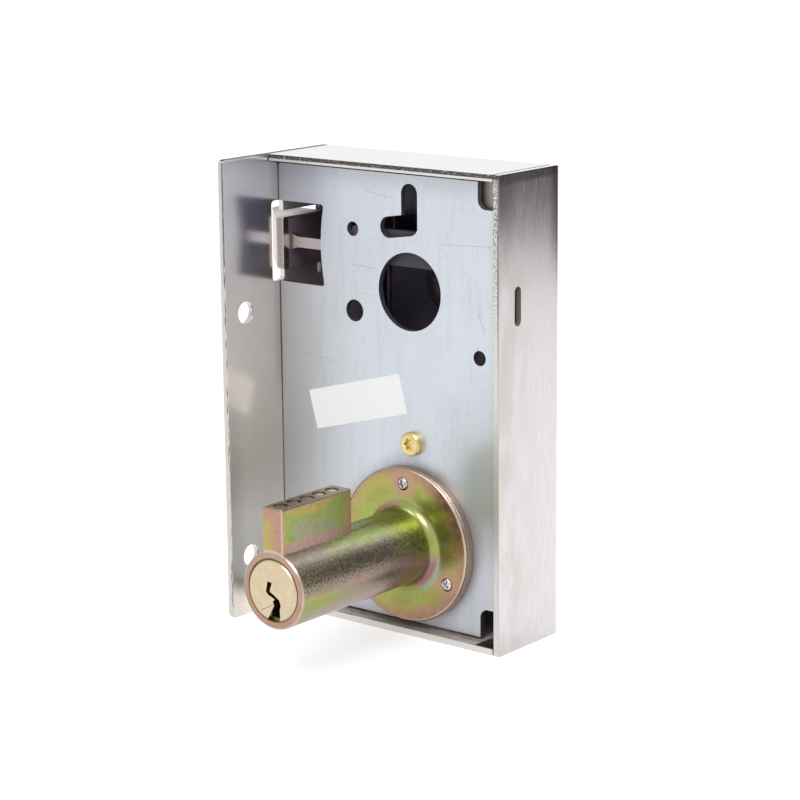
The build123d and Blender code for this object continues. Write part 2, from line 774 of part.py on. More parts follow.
# Cylinder body: barrel, flange and pin tower in one casting, with a stepped bore and five chambers
with BuildPart() as cylinder_body:
    with BuildSketch(at_depth(plate_thickness)):
        with Locations(cylinder_place):
            Circle(barrel_radius)
    extrude(amount=plate_thickness + barrel_reach)
    with BuildSketch(at_depth(tower_length - barrel_reach)):
        with Locations((0, tower_top_z)):
            Rectangle(tower_width, tower_rise, align=(Align.CENTER, Align.MAX))
    extrude(amount=tower_length)
    fillet(cylinder_body.faces().sort_by(Axis.Z)[-1].edges().filter_by(Axis.Y), radius=tower_edge_radius)
    chamfer(cylinder_body.faces().sort_by(Axis.Y)[0].edges(), length=barrel_chamfer)
    with BuildSketch(at_depth(ring_front_y)):
        with Locations(cylinder_place):
            Circle(flange_radius)
    extrude(amount=flange_thickness)
    flange_front = cylinder_body.faces().filter_by(Axis.Y).filter_by_position(
        Axis.Y, flange_front_y, flange_front_y
    )[0]
    fillet(flange_front.outer_wire().edges(), radius=flange_edge_radius)
    flange_front = cylinder_body.faces().filter_by(Axis.Y).filter_by_position(
        Axis.Y, flange_front_y, flange_front_y
    )[0]
    fillet(flange_front.inner_wires()[0].edges(), radius=hub_fillet)
    with BuildSketch(at_depth(plate_thickness + overrun)):
        with Locations(cylinder_place):
            Circle(plug_body_radius + running_clearance)
    extrude(amount=plate_thickness + barrel_reach + 2 * overrun, mode=Mode.SUBTRACT)
    with BuildSketch(at_depth(plug_front_y + plug_head_length)):
        with Locations(cylinder_place):
            Circle(plug_radius + running_clearance)
    extrude(amount=plug_head_length - plug_proud + overrun, mode=Mode.SUBTRACT)
    with BuildSketch(Plane.XY.offset(tower_top_z)):
        with Locations(*chamber_places):
            Circle(chamber_radius)
    extrude(amount=-tower_rise, mode=Mode.SUBTRACT)
    with BuildSketch(at_depth(ring_front_y + overrun)):
        with Locations(cylinder_place):
            with PolarLocations(flange_screw_circle_radius, flange_screw_count, flange_screw_angle):
                Circle(flange_screw_head_radius + thread_clearance)
    extrude(amount=flange_thickness + 2 * overrun, mode=Mode.SUBTRACT)
cylinder_body.part.label = "cylinder_body"
export_step(cylinder_body.part, "parts/cylinder_body.step")


with BuildPart() as flange_ring:
    with BuildSketch(at_depth(0)):
        with Locations(cylinder_place):
            Circle(ring_radius)
            Circle(barrel_radius + running_clearance, mode=Mode.SUBTRACT)
            with PolarLocations(flange_screw_circle_radius, flange_screw_count, flange_screw_angle):
                Circle(flange_screw_shank_radius + thread_clearance, mode=Mode.SUBTRACT)
    extrude(amount=ring_thickness)
flange_ring.part.label = "flange_ring"
export_step(flange_ring.part, "parts/flange_ring.step")


with BuildPart() as flange_screws:
    with BuildSketch(at_depth(ring_front_y)):
        with Locations(cylinder_place):
            with PolarLocations(flange_screw_circle_radius, flange_screw_count, flange_screw_angle):
                Circle(flange_screw_head_radius)
    extrude(amount=flange_thickness + flange_screw_proud)
    fillet(flange_screws.faces().sort_by(Axis.Y)[:flange_screw_count].edges(), radius=flange_screw_proud)
    with BuildSketch(at_depth(plate_thickness + flange_screw_tip)):
        with Locations(cylinder_place):
            with PolarLocations(flange_screw_circle_radius, flange_screw_count, flange_screw_angle):
                Circle(flange_screw_shank_radius)
    extrude(amount=plate_thickness + flange_screw_tip + ring_thickness)
flange_screws.part.label = "flange_screws"
export_step(flange_screws.part, "parts/flange_screws.step")


cap_top_z = tower_top_z - cap_sink
with BuildPart() as pin_caps:
    with BuildSketch(Plane.XY.offset(cap_top_z)):
        with Locations(*chamber_places):
            Circle(pin_radius)
    extrude(amount=-cap_thickness)
pin_caps.part.label = "pin_caps"
export_step(pin_caps.part, "parts/pin_caps.step")


driver_bottom_z = cylinder_height + plug_body_radius + shear_gap
with BuildPart() as driver_pins:
    with BuildSketch(Plane.XY.offset(driver_bottom_z)):
        with Locations(*chamber_places):
            Circle(pin_radius)
    extrude(amount=driver_length)
driver_pins.part.label = "driver_pins"
export_step(driver_pins.part, "parts/driver_pins.step")


key_pin_bottom_z = cylinder_height + chamber_floor
key_pin_top_z = cylinder_height + sqrt(plug_body_radius ** 2 - pin_radius ** 2) - shear_gap
with BuildPart() as key_pins:
    with BuildSketch(Plane.XY.offset(key_pin_bottom_z)):
        with Locations(*chamber_places):
            Circle(pin_radius)
    extrude(amount=key_pin_top_z - key_pin_bottom_z)
    chamfer(key_pins.faces().sort_by(Axis.Z)[:chamber_count].edges(), length=key_pin_chamfer)
key_pins.part.label = "key_pins"
export_step(key_pins.part, "parts/key_pins.step")


# Plug with its head, warded keyway, pin chambers and the holes for the cam's screws
with BuildPart() as cylinder_plug:
    with BuildSketch(at_depth(plug_back_y)):
        with Locations(cylinder_place):
            Circle(plug_body_radius)
    extrude(amount=plug_back_y - plug_front_y)
    with BuildSketch(at_depth(plug_front_y + plug_head_length - running_clearance)):
        with Locations(cylinder_place):
            Circle(plug_radius)
    extrude(amount=plug_head_length - running_clearance)
    chamfer(cylinder_plug.faces().sort_by(Axis.Y)[0].edges(), length=plug_chamfer)
    with BuildSketch(at_depth(plug_front_y + keyway_depth)):
        with BuildLine():
            Polyline(
                *[(x * plug_radius, cylinder_height + z * plug_radius) for x, z in keyway_shares],
                close=True,
            )
        make_face()
    extrude(amount=keyway_depth + overrun, mode=Mode.SUBTRACT)
    with BuildSketch(Plane.XY.offset(cylinder_height + plug_radius)):
        with Locations(*chamber_places):
            Circle(chamber_radius)
    extrude(amount=chamber_floor - plug_radius, mode=Mode.SUBTRACT)
    with BuildSketch(at_depth(plug_back_y + overrun)):
        with Locations(cylinder_place):
            with PolarLocations(cam_screw_circle_radius, 2, -cam_pin_start_angle):
                Circle(cam_screw_radius + thread_clearance)
    extrude(amount=cam_screw_length - cam_thickness + 2 * overrun, mode=Mode.SUBTRACT)
cylinder_plug.part.label = "cylinder_plug"
export_step(cylinder_plug.part, "parts/cylinder_plug.step")


countersink_depth = cam_screw_head_radius - cam_screw_radius
with BuildPart() as drive_cam:
    with BuildSketch(at_depth(cam_far_y)):
        with Locations(cylinder_place):
            Circle(cam_radius)
            with PolarLocations(cam_screw_circle_radius, 2, -cam_pin_start_angle):
                Circle(cam_screw_radius + thread_clearance, mode=Mode.SUBTRACT)
        with Locations(cam_pin_place):
            Circle(cam_pin_radius + tail_fit, mode=Mode.SUBTRACT)
    extrude(amount=cam_thickness)
    screw_holes = drive_cam.faces().sort_by(Axis.Y)[-1].inner_wires().sort_by(SortBy.LENGTH)[:2]
    chamfer([wire.edges()[0] for wire in screw_holes], length=countersink_depth)
drive_cam.part.label = "drive_cam"
export_step(drive_cam.part, "parts/drive_cam.step")


with BuildPart() as cam_screws:
    with BuildSketch(at_depth(cam_far_y)):
        with Locations(cylinder_place):
            with PolarLocations(cam_screw_circle_radius, 2, -cam_pin_start_angle):
                Circle(cam_screw_radius)
    extrude(amount=cam_screw_length)
    with BuildSketch(at_depth(cam_far_y)):
        with Locations(cylinder_place):
            with PolarLocations(cam_screw_circle_radius, 2, -cam_pin_start_angle):
                Circle(cam_screw_head_radius)
    extrude(amount=countersink_depth, taper=45)
cam_screws.part.label = "cam_screws"
export_step(cam_screws.part, "parts/cam_screws.step")


with BuildPart() as cam_pin:
    with BuildSketch(at_depth(lever_far_y + cam_pin_overhang)):
        with Locations(cam_pin_place):
            Circle(cam_pin_radius)
    extrude(amount=lever_far_y + cam_pin_overhang - plug_back_y)
cam_pin.part.label = "cam_pin"
export_step(cam_pin.part, "parts/cam_pin.step")


# Inside knob: bush in the cover, spindle, crank on the spindle's square, screw and grip
with BuildPart() as knob_bush:
    with BuildSketch(at_depth(cover_inner_y)):
        with Locations(hub_place):
            Circle(bush_flange_radius)
    extrude(amount=bush_flange_thickness)
    with BuildSketch(at_depth(cover_outer_y + bush_proud)):
        with Locations(hub_place):
            Circle(bush_radius)
    extrude(amount=sheet + bush_proud)
    with BuildSketch(at_depth(cover_outer_y + bush_proud + overrun)):
        with Locations(hub_place):
            Circle(spindle_radius + running_clearance)
    extrude(amount=sheet + bush_proud + bush_flange_thickness + 2 * overrun, mode=Mode.SUBTRACT)
knob_bush.part.label = "knob_bush"
export_step(knob_bush.part, "parts/knob_bush.step")


crank_bearing = bearing(hub_place, crank_pin_place)
crank_rise = crank_pin_place[1] - hub_place[1]
crank_slot_start = crank_rise - crank_pin_radius - crank_root_gap
crank_end = span(hub_place, crank_pin_place) + crank_pin_radius + crank_overhang
with BuildPart() as knob_spindle:
    with BuildSketch(at_depth(knob_near_y + spindle_inset)):
        with Locations(hub_place):
            Circle(spindle_radius)
    extrude(amount=knob_near_y + spindle_inset - crank_far_y)
    with BuildSketch(at_depth(crank_far_y)):
        with Locations(Location(hub_place, -crank_bearing)):
            Rectangle(spindle_square, spindle_square)
    extrude(amount=crank_thickness)
    with BuildSketch(at_depth(crank_near_y + crank_screw_length + overrun)):
        with Locations(hub_place):
            Circle(crank_screw_radius + thread_clearance)
    extrude(amount=crank_screw_length + 2 * overrun, mode=Mode.SUBTRACT)
knob_spindle.part.label = "knob_spindle"
export_step(knob_spindle.part, "parts/knob_spindle.step")


with BuildPart() as knob_crank:
    with BuildSketch(at_depth(crank_far_y)):
        with Locations(hub_place):
            Circle(crank_hub_radius)
        with Locations(Location(reach(hub_place, crank_bearing, crank_end / 2), 90 - crank_bearing)):
            Rectangle(crank_end, crank_width)
        crank_slot_cut = crank_end - crank_slot_start
        crank_slot_width = 2 * (crank_pin_radius + crank_slot_clearance)
        with Locations(Location(reach(hub_place, crank_bearing, crank_end), 90 - crank_bearing)):
            SlotOverall(2 * crank_slot_cut, crank_slot_width, mode=Mode.SUBTRACT)
        with Locations(Location(hub_place, -crank_bearing)):
            square_hole = spindle_square + 2 * running_clearance
            Rectangle(square_hole, square_hole, mode=Mode.SUBTRACT)
    extrude(amount=crank_thickness)
knob_crank.part.label = "knob_crank"
export_step(knob_crank.part, "parts/knob_crank.step")


with BuildPart() as crank_screw:
    with BuildSketch(at_depth(crank_near_y)):
        with Locations(hub_place):
            Circle(crank_screw_head_radius)
    extrude(amount=crank_screw_head)
    fillet(crank_screw.faces().sort_by(Axis.Y)[0].edges(), radius=crank_screw_edge)
    with BuildSketch(at_depth(crank_near_y + crank_screw_length)):
        with Locations(hub_place):
            Circle(crank_screw_radius)
    extrude(amount=crank_screw_length)
crank_screw.part.label = "crank_screw"
export_step(crank_screw.part, "parts/crank_screw.step")


grip_end_y = knob_near_y + knob_base_height + knob_grip_height
with BuildPart() as inside_knob:
    with BuildSketch(at_depth(knob_near_y + knob_base_height)):
        with Locations(hub_place):
            Circle(knob_base_radius)
    extrude(amount=knob_base_height)
    fillet(inside_knob.faces().sort_by(Axis.Y)[-1].edges(), radius=knob_base_edge)
    with BuildSketch(at_depth(grip_end_y)):
        with Locations(hub_place):
            SlotOverall(knob_grip_length, knob_grip_width, rotation=90)
    extrude(amount=knob_grip_height)
    fillet(inside_knob.faces().sort_by(Axis.Y)[-1].edges(), radius=knob_grip_edge)
    with BuildSketch(at_depth(knob_near_y + spindle_inset + running_clearance)):
        with Locations(hub_place):
            Circle(spindle_radius + running_clearance)
    extrude(amount=spindle_inset + running_clearance + overrun, mode=Mode.SUBTRACT)
inside_knob.part.label = "inside_knob"
export_step(inside_knob.part, "parts/inside_knob.step")
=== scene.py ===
import json
import math
import bmesh
import bpy
from mathutils import Matrix, Vector


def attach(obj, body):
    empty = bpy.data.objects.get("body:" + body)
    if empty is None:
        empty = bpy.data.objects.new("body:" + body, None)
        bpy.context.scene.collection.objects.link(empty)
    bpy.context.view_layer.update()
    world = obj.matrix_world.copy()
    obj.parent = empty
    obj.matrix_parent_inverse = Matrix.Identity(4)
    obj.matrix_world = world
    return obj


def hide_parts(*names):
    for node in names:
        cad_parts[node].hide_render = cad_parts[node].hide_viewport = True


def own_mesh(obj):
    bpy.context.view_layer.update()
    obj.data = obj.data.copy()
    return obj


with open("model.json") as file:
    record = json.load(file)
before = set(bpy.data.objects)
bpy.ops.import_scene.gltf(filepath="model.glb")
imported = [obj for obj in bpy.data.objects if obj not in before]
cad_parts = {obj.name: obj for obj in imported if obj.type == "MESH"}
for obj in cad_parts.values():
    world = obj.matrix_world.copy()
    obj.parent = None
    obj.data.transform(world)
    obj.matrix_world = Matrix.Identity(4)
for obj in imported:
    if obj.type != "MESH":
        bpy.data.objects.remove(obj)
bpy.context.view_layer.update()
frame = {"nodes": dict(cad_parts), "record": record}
nodes = frame["nodes"]
bodyOf = {node: body for body, members in frame["record"]["behaviour"]["bodies"].items() for node in members}
mm = 0.001
print("frame loaded:", len(nodes), "nodes")


# Lowest and highest corner of a CAD piece, in millimetres
def boxOf(node):
    places = [vertex.co / mm for vertex in nodes[node].data.vertices]
    low = Vector([min(place[axis] for place in places) for axis in range(3)])
    high = Vector([max(place[axis] for place in places) for axis in range(3)])
    return low, high


caseLow, caseHigh = boxOf("case")
plateLow, plateHigh = boxOf("base_plate")
plugLow, plugHigh = boxOf("cylinder_plug")
bodyLow, bodyHigh = boxOf("cylinder_body")
axisZ = (plugLow.z + plugHigh.z) / 2
axisX = (plugLow.x + plugHigh.x) / 2
sheet = plateHigh.y - plateLow.y


# Node building: Value wraps a socket and turns sums into Math nodes, Tree adds every other node
class Value:
    def __init__(self, tree, socket):
        self.tree = tree
        self.socket = socket

    def combine(self, operation, first, second):
        return self.tree.add("ShaderNodeMath", {"operation": operation}, {0: first, 1: second})

    def __add__(self, other):
        return self.combine("ADD", self, other)

    def __radd__(self, other):
        return self.combine("ADD", other, self)

    def __sub__(self, other):
        return self.combine("SUBTRACT", self, other)

    def __rsub__(self, other):
        return self.combine("SUBTRACT", other, self)

    def __mul__(self, other):
        return self.combine("MULTIPLY", self, other)

    def __rmul__(self, other):
        return self.combine("MULTIPLY", other, self)

    def __truediv__(self, other):
        return self.combine("DIVIDE", self, other)

    def __pow__(self, other):
        return self.combine("POWER", self, other)

    def __gt__(self, other):
        return self.combine("GREATER_THAN", self, other)

    def __lt__(self, other):
        return self.combine("LESS_THAN", self, other)

    def __abs__(self):
        return self.combine("ABSOLUTE", self, 0.0)


class Tree:
    def __init__(self, nodeTree):
        self.nodeTree = nodeTree

    def add(self, kind, settings=None, sockets=None, output=0):
        node = self.nodeTree.nodes.new(kind)
        for name, setting in (settings or {}).items():
            setattr(node, name, setting)
        for name, value in (sockets or {}).items():
            self.feed(node.inputs[name], value)
        if len(node.outputs) > 0:
            return Value(self, node.outputs[output])

    def feed(self, socket, value):
        if isinstance(value, Value):
            self.nodeTree.links.new(value.socket, socket)
        elif hasattr(socket.default_value, "__len__") and len(socket.default_value) == 4 and len(value) == 3:
            socket.default_value = (*value, 1.0)
        else:
            socket.default_value = value

    def most(self, first, second):
        return self.add("ShaderNodeMath", {"operation": "MAXIMUM"}, {0: first, 1: second})

    def least(self, first, second):
        return self.add("ShaderNodeMath", {"operation": "MINIMUM"}, {0: first, 1: second})

    def whiteToLens(self):
        # 1 where the camera, a reflection or a view through glass meets the surround
        seen, mirrored, through = [
            self.add("ShaderNodeLightPath", output=ray)
            for ray in ("Is Camera Ray", "Is Glossy Ray", "Is Transmission Ray")
        ]
        return self.most(self.most(seen, mirrored), through)


class Shader(Tree):
    def __init__(self, name, look=None):
        self.look = look
        self.material = bpy.data.materials.new(name)
        self.material.use_nodes = True
        super().__init__(self.material.node_tree)
        self.surface = self.nodeTree.nodes["Principled BSDF"]

    def finish(self, **sockets):
        for name, value in sockets.items():
            self.feed(self.surface.inputs[name.replace("_", " ")], value)
        return self.material

    def place(self):
        # the piece's own place, in millimetres
        objectPlace = self.add("ShaderNodeTexCoord", output="Object")
        return self.add("ShaderNodeVectorMath", {"operation": "SCALE"}, {0: objectPlace, "Scale": 1 / mm})

    def facing(self):
        return self.axes(self.add("ShaderNodeNewGeometry", output="Normal"))

    def axes(self, vector):
        return [self.add("ShaderNodeSeparateXYZ", {}, {0: vector}, axis) for axis in range(3)]

    def noise(self, place, name):
        grain = self.look["grains"][name]
        squeezed = self.add("ShaderNodeVectorMath", {"operation": "MULTIPLY"}, {0: place, 1: grain["steps"]})
        sockets = {
            "Vector": squeezed,
            "Scale": 1.0,
            "Detail": grain.get("detail", 3.0),
            "Roughness": grain.get("roughness", 0.55),
            "Distortion": grain.get("distortion", 0.0),
        }
        return self.add("ShaderNodeTexNoise", {}, sockets)

    def sway(self, pattern, name):
        # a noise swings about one half
        return (pattern - 0.5) * self.look["sways"][name]

    def ease(self, value, low, high, start=0.0, end=1.0):
        sockets = {"Value": value, "From Min": low, "From Max": high, "To Min": start, "To Max": end}
        return self.add("ShaderNodeMapRange", {"interpolation_type": "SMOOTHSTEP"}, sockets)

    def zone(self, value, name):
        return self.ease(value, *self.look["zones"][name])

    def total(self, name, **parts):
        # a plain value and what each part adds to it
        shares = self.look[name]
        result = shares["plain"]
        for part, value in parts.items():
            result = value * shares[part] + result
        return result

    def blend(self, share, first, second):
        return self.add("ShaderNodeMix", {"data_type": "RGBA"}, {0: share, 6: first, 7: second}, 2)

    def paint(self, colour, share, name):
        return self.blend(share, colour, self.look[name])

    def between(self, share, first, second):
        return self.blend(share, self.look[first], self.look[second])

    def length(self, x, z):
        return (x * x + z * z) ** 0.5

    def bump(self, height):
        strength, distance = self.look["bump"]
        sockets = {"Height": height, "Strength": strength, "Distance": distance * mm}
        return self.add("ShaderNodeBump", {}, sockets)

    def stroke(self, across, along, start, end, width):
        # a faint mark along a straight line between two places, in millimetres
        runX, runZ = end[0] - start[0], end[1] - start[1]
        reach = math.hypot(runX, runZ)
        runX, runZ = runX / reach, runZ / reach
        forward = (across - start[0]) * runX + (along - start[1]) * runZ
        sideways = abs((along - start[1]) * runX - (across - start[0]) * runZ)
        begun = self.ease(forward, -width, width)
        ended = self.ease(forward, reach - width, reach + width)
        return self.ease(sideways, width, 0.0) * begun * (1 - ended)


# Finishes. Grains are noise patterns, with their steps per millimetre along X, Y and Z. A zone is the
# range over which a mark comes up, and may end with its least and its full share. Sways say how far a
# grain shifts a zone. Under roughness, metallic and height stands what each part adds to the plain value
caseFinish = {
    "steel": (0.70, 0.67, 0.68),
    "hair": (0.60, 0.57, 0.575),
    "rosy": (0.57, 0.52, 0.51),
    "darkReflection": (0.22, 0.165, 0.215),
    "topSteel": (0.80, 0.815, 0.84),
    "bright": (0.96, 0.96, 0.97),
    "forendLow": (0.89, 0.84, 0.755),
    "forendMid": (0.70, 0.625, 0.56),
    "forendHigh": (0.70, 0.65, 0.655),
    "forendVioletReflection": (0.76, 0.74, 1.0),
    "inner": (0.13, 0.105, 0.165),
    "innerLatchLight": (0.32, 0.255, 0.31),
    "innerBackLight": (0.62, 0.52, 0.60),
    "innerFloor": (0.72, 0.66, 0.62),
    "floorDark": (0.40, 0.36, 0.33),
    "slotWall": (0.40, 0.30, 0.27),
    "tornSeamAndShade": (0.05, 0.042, 0.045),
    "cutEdge": (0.68, 0.655, 0.63),
    "forendEdge": (0.56, 0.535, 0.51),
    "margin": 0.2,
    "fineMargin": 0.1,
    "facesMostly": 0.8,
    "facesPartly": 0.5,
    "facesDoor": -0.75,
    "endDepth": 0.5,
    "seamShift": 0.1,
    "latchFrom": 62.0,
    "openingStep": 9.0,
    "slotMargin": 0.15,
    "slotFrom": 60.0,
    "slotTo": 90.0,
    "innerShare": 0.92,
    "openingShare": 0.95,
    "tornShare": 0.92,
    "leastMetallic": 0.3,
    "grains": {
        "hairUp": {"steps": (8.0, 8.0, 0.2), "detail": 4.0, "roughness": 0.6},
        "hairFlat": {"steps": (8.0, 0.2, 8.0), "detail": 4.0, "roughness": 0.6},
        "cloud": {"steps": (0.2, 0.2, 0.09)},
        "brushed": {"steps": (0.25, 3.0, 3.0), "roughness": 0.6},
        "streak": {"steps": (1.0, 0.15, 2.6), "roughness": 0.6},
        "tearTop": {"steps": (1.3, 3.0, 4.5), "detail": 4.0, "roughness": 0.7},
        "tearSide": {"steps": (3.0, 3.0, 2.2), "roughness": 0.7},
        "tearForend": {"steps": (3.0, 3.0, 0.35), "roughness": 0.6},
    },
    "zones": {
        "lying": (0.6, 0.8),
        "hair": (0.36, 0.62),
        "rosyDepth": (15.0, -4.0),
        "rosyCloud": (0.3, 0.62),
        "rimDepth": (6.0, -4.0),
        "rimHeight": (86.0, 102.0, 0.0, 0.6),
        "foldDepth": (13.5, 17.5),
        "foldHeight": (76.0, 94.0, 0.0, 0.7),
        "seam": (0.50, 0.30, 0.0, 0.95),
        "topBand": (-2.8, -1.8, 0.0, 0.62),
        "inside": (-0.3, 0.5),
        "nearLatch": (-19.0, -24.0),
        "farBack": (-4.0, 2.0),
        "lowDown": (68.0, 64.0),
        "floorDepth": (3.0, 0.0),
        "floorTone": (0.35, 0.65),
        "floorNotch": (-5.6, -4.8),
        "openingEdge": (-0.75, -0.9),
        "forend": (0.8, 0.95),
        "forendMid": (20.0, 70.0),
        "forendHigh": (70.0, 96.0),
        "violetOuter": (-14.0, -11.5),
        "violetInner": (-3.5, -5.5),
        "violetFoot": (78.5, 81.0),
        "violetHead": (98.0, 94.0, 0.0, 0.55),
        "streak": (0.3, 0.7, 0.0, 0.15),
        "cornerDepth": (-3.5, -0.5, 0.0, 0.25),
        "cornerHeight": (44.0, 58.0),
        "rimSideDepth": (-12.5, -16.5, 0.0, 0.14),
        "rimSideHeight": (62.0, 44.0),
        "slotWall": (0.6, 0.3),
        "cut": (-0.9, -0.75, 1.0, 0.0),
        "tearTop": (0.35, 0.44),
        "tearTopPart": (-0.68, -0.56),
        "tearSide": (0.46, 0.56, 0.0, 0.85),
        "tearSideHeight": (60.0, 102.0, 0.2, 1.0),
        "lineSide": (-0.5, -0.3),
        "lineSideHeight": (50.0, 85.0, 0.15, 0.8),
        "tearForend": (0.50, 0.60, 0.0, 0.8),
        "tearForendPart": (-0.45, -0.25),
        "tearForendHeight": (50.0, 95.0, 0.0, 0.15),
        "tearEnd": (0.05, -0.15),
        "burrHighlight": (-0.55, -0.35, 0.0, 0.85),
    },
    "sways": {"topBand": 1.5, "burrHighlight": 0.4},
    "roughness": {
        "plain": 0.17,
        "hair": 0.05,
        "forend": -0.01,
        "torn": 0.35,
        "inside": 0.2,
        "floor": 0.3,
        "cut": 0.15,
    },
    "metallic": {"plain": 1.0, "forend": -0.12, "inside": -0.7, "floor": -0.45, "slotWall": -0.7},
    "height": {"plain": 0.0, "hair": 0.4, "torn": 1.5},
    "bump": (0.08, 0.03),
}


def makeCaseSteel():
    look = caseFinish
    shader = Shader("caseSteel", look)
    place = shader.place()
    x, y, z = shader.axes(place)
    facingX, facingY, facingZ = shader.facing()
    forendX = caseLow.x + sheet
    backX = caseHigh.x - sheet
    topZ = caseHigh.z
    margin, fineMargin = look["margin"], look["fineMargin"]
    # hair lines run up the walls and along the ones that lie flat
    lying = shader.zone(abs(facingZ), "lying")
    hair = shader.noise(place, "hairUp") * (1 - lying) + shader.noise(place, "hairFlat") * lying
    share = shader.zone(hair, "hair")
    colour = shader.between(share, "hair", "steel")
    cloud = shader.noise(place, "cloud")
    rosy = shader.zone(y, "rosyDepth") * shader.zone(cloud, "rosyCloud")
    colour = shader.paint(colour, rosy, "rosy")
    # painted dark reflection and shade: darker towards the rim and towards the fold at the cover, at the
    # upper end of the back wall
    onBack = (x > backX) * (facingX > look["facesPartly"])
    rimShade = shader.zone(y, "rimDepth") * shader.zone(z, "rimHeight")
    foldShade = shader.zone(y, "foldDepth") * shader.zone(z, "foldHeight")
    colour = shader.paint(colour, shader.most(rimShade, foldShade) * onBack, "darkReflection")
    endUp = (facingZ > look["facesMostly"]) * (z > topZ - look["endDepth"])
    colour = shader.paint(colour, endUp * (x > forendX), "topSteel")
    # painted highlight: a near-white strip along the top end of the back wall
    colour = shader.paint(colour, endUp * (x > backX), "bright")
    seam = shader.zone(abs(x - backX + look["seamShift"]), "seam") * endUp
    colour = shader.paint(colour, seam, "tornSeamAndShade")
    # painted dark reflection and shade in a band under the fold at the top of the back wall
    shadeBand = shader.zone(z - topZ + shader.sway(cloud, "topBand"), "topBand") * onBack
    colour = shader.paint(colour, shadeBand, "darkReflection")
    # painted shade inside the box: the steel there is painted dark and made dull, with painted light near
    # the latch and low at the back; the forend's inner side keeps the mill's polish
    within = (x > forendX - margin) * (x < backX + margin)
    within = within * (z > sheet - margin) * (z < topZ - sheet + margin)
    inside = within * shader.zone(y, "inside") * (y < caseHigh.y - sheet + margin)
    nearLatch = shader.zone(x, "nearLatch") * (z > look["latchFrom"])
    inner = shader.between(nearLatch, "inner", "innerLatchLight")
    inner = shader.paint(inner, shader.zone(x, "farBack") * shader.zone(z, "lowDown"), "innerBackLight")
    colour = shader.blend(inside * look["innerShare"], colour, inner)
    onFloor = (z < sheet + margin) * (facingZ > look["facesPartly"])
    innerFloor = within * onFloor * shader.zone(y - plateHigh.y, "floorDepth")
    brushed = shader.zone(shader.noise(place, "brushed"), "floorTone")
    floorTone = shader.between(brushed, "floorDark", "innerFloor")
    # painted reflection: the floor is painted dark where it would mirror the dark notch at its end
    floorTone = shader.paint(floorTone, shader.zone(x - backX, "floorNotch"), "tornSeamAndShade")
    colour = shader.blend(innerFloor, colour, floorTone)
    # painted shade: the forend's faces towards the door, behind the plate, are painted the dark inside
    # colour
    lowEdge = within * shader.zone(facingY, "openingEdge") * (x < forendX + margin) * (y > plateHigh.y)
    stepEdge = (y > plateHigh.y + look["openingStep"]) * (facingY < look["facesDoor"])
    openingEdge = shader.most(lowEdge, stepEdge * (x < forendX + fineMargin))
    colour = shader.paint(colour, openingEdge * look["openingShare"], "inner")
    forendInner = shader.zone(facingX, "forend") * (x < forendX + margin + fineMargin)
    streak = shader.noise(place, "streak")
    # painted reflection: the forend's inner face is painted warm and pale at its foot and grey higher up
    forend = shader.between(shader.zone(z, "forendMid"), "forendLow", "forendMid")
    forend = shader.paint(forend, shader.zone(z, "forendHigh"), "forendHigh")
    # painted reflection: a violet cast where the forend would mirror the opening of the plate
    acrossCast = shader.zone(y, "violetOuter") * shader.zone(y, "violetInner")
    alongCast = shader.zone(z, "violetFoot") * shader.zone(z, "violetHead")
    forend = shader.paint(forend, acrossCast * alongCast, "forendVioletReflection")
    forend = shader.paint(forend, shader.zone(streak, "streak"), "hair")
    # painted shade in two patches on the forend's inner face
    cornerShade = shader.zone(y, "cornerDepth") * shader.zone(z, "cornerHeight")
    rimSideShade = shader.zone(y, "rimSideDepth") * shader.zone(z, "rimSideHeight")
    forend = shader.paint(forend, cornerShade + rimSideShade, "tornSeamAndShade")
    colour = shader.blend(forendInner, colour, forend)
    # painted light: the walls of the slot in the back wall are painted a lit brown and made less metallic
    slotWall = (x > backX + look["slotMargin"]) * (x < caseHigh.x - look["slotMargin"]) * (y > 0.0)
    slotWall = slotWall * (z > look["slotFrom"]) * (z < look["slotTo"])
    slotWall = slotWall * shader.zone(abs(facingX), "slotWall")
    colour = shader.paint(colour, slotWall, "slotWall")
    # cut edges of the sheet: a torn dark zone beside a bright sheared one
    cut = shader.zone(facingY, "cut") * (y < plateLow.y)
    colour = shader.paint(colour, cut, "cutEdge")
    colour = shader.paint(colour, cut * (x < forendX + fineMargin), "forendEdge")
    tornTop = shader.zone(shader.noise(place, "tearTop"), "tearTop") * (x > forendX)
    tornTop = tornTop * shader.zone((z - topZ) * (1 / sheet), "tearTopPart")
    tornSide = shader.zone(shader.noise(place, "tearSide"), "tearSide") * (x > backX)
    tornSide = tornSide * shader.zone(z, "tearSideHeight")
    lineSide = shader.zone(x - caseHigh.x, "lineSide") * shader.zone(z, "lineSideHeight")
    tearForend = shader.noise(place, "tearForend") + shader.zone(z, "tearForendHeight")
    tornForend = shader.zone(tearForend, "tearForend") * (x < forendX + fineMargin)
    tornForend = tornForend * shader.zone((x - forendX) * (1 / sheet), "tearForendPart")
    torn = shader.most(shader.most(tornTop, tornSide), shader.most(tornForend, lineSide)) * cut
    # the forend's top end is torn too, above a burr with a painted highlight
    torn = shader.most(torn, shader.zone(x - forendX, "tearEnd") * endUp)
    colour = shader.paint(colour, torn * look["tornShare"], "tornSeamAndShade")
    burrHighlight = forendInner * shader.zone(z - topZ + shader.sway(streak, "burrHighlight"), "burrHighlight")
    colour = shader.paint(colour, burrHighlight, "bright")
    metallic = shader.total(
        "metallic", forend=forendInner, inside=inside, floor=innerFloor, slotWall=slotWall
    )
    roughness = shader.total(
        "roughness", hair=share, forend=forendInner, torn=torn, inside=inside, floor=innerFloor, cut=cut
    )
    return shader.finish(
        Base_Color=colour,
        Metallic=shader.most(metallic, look["leastMetallic"]),
        Roughness=roughness,
        Normal=shader.bump(shader.total("height", hair=hair * (1 - forendInner), torn=torn)),
    )


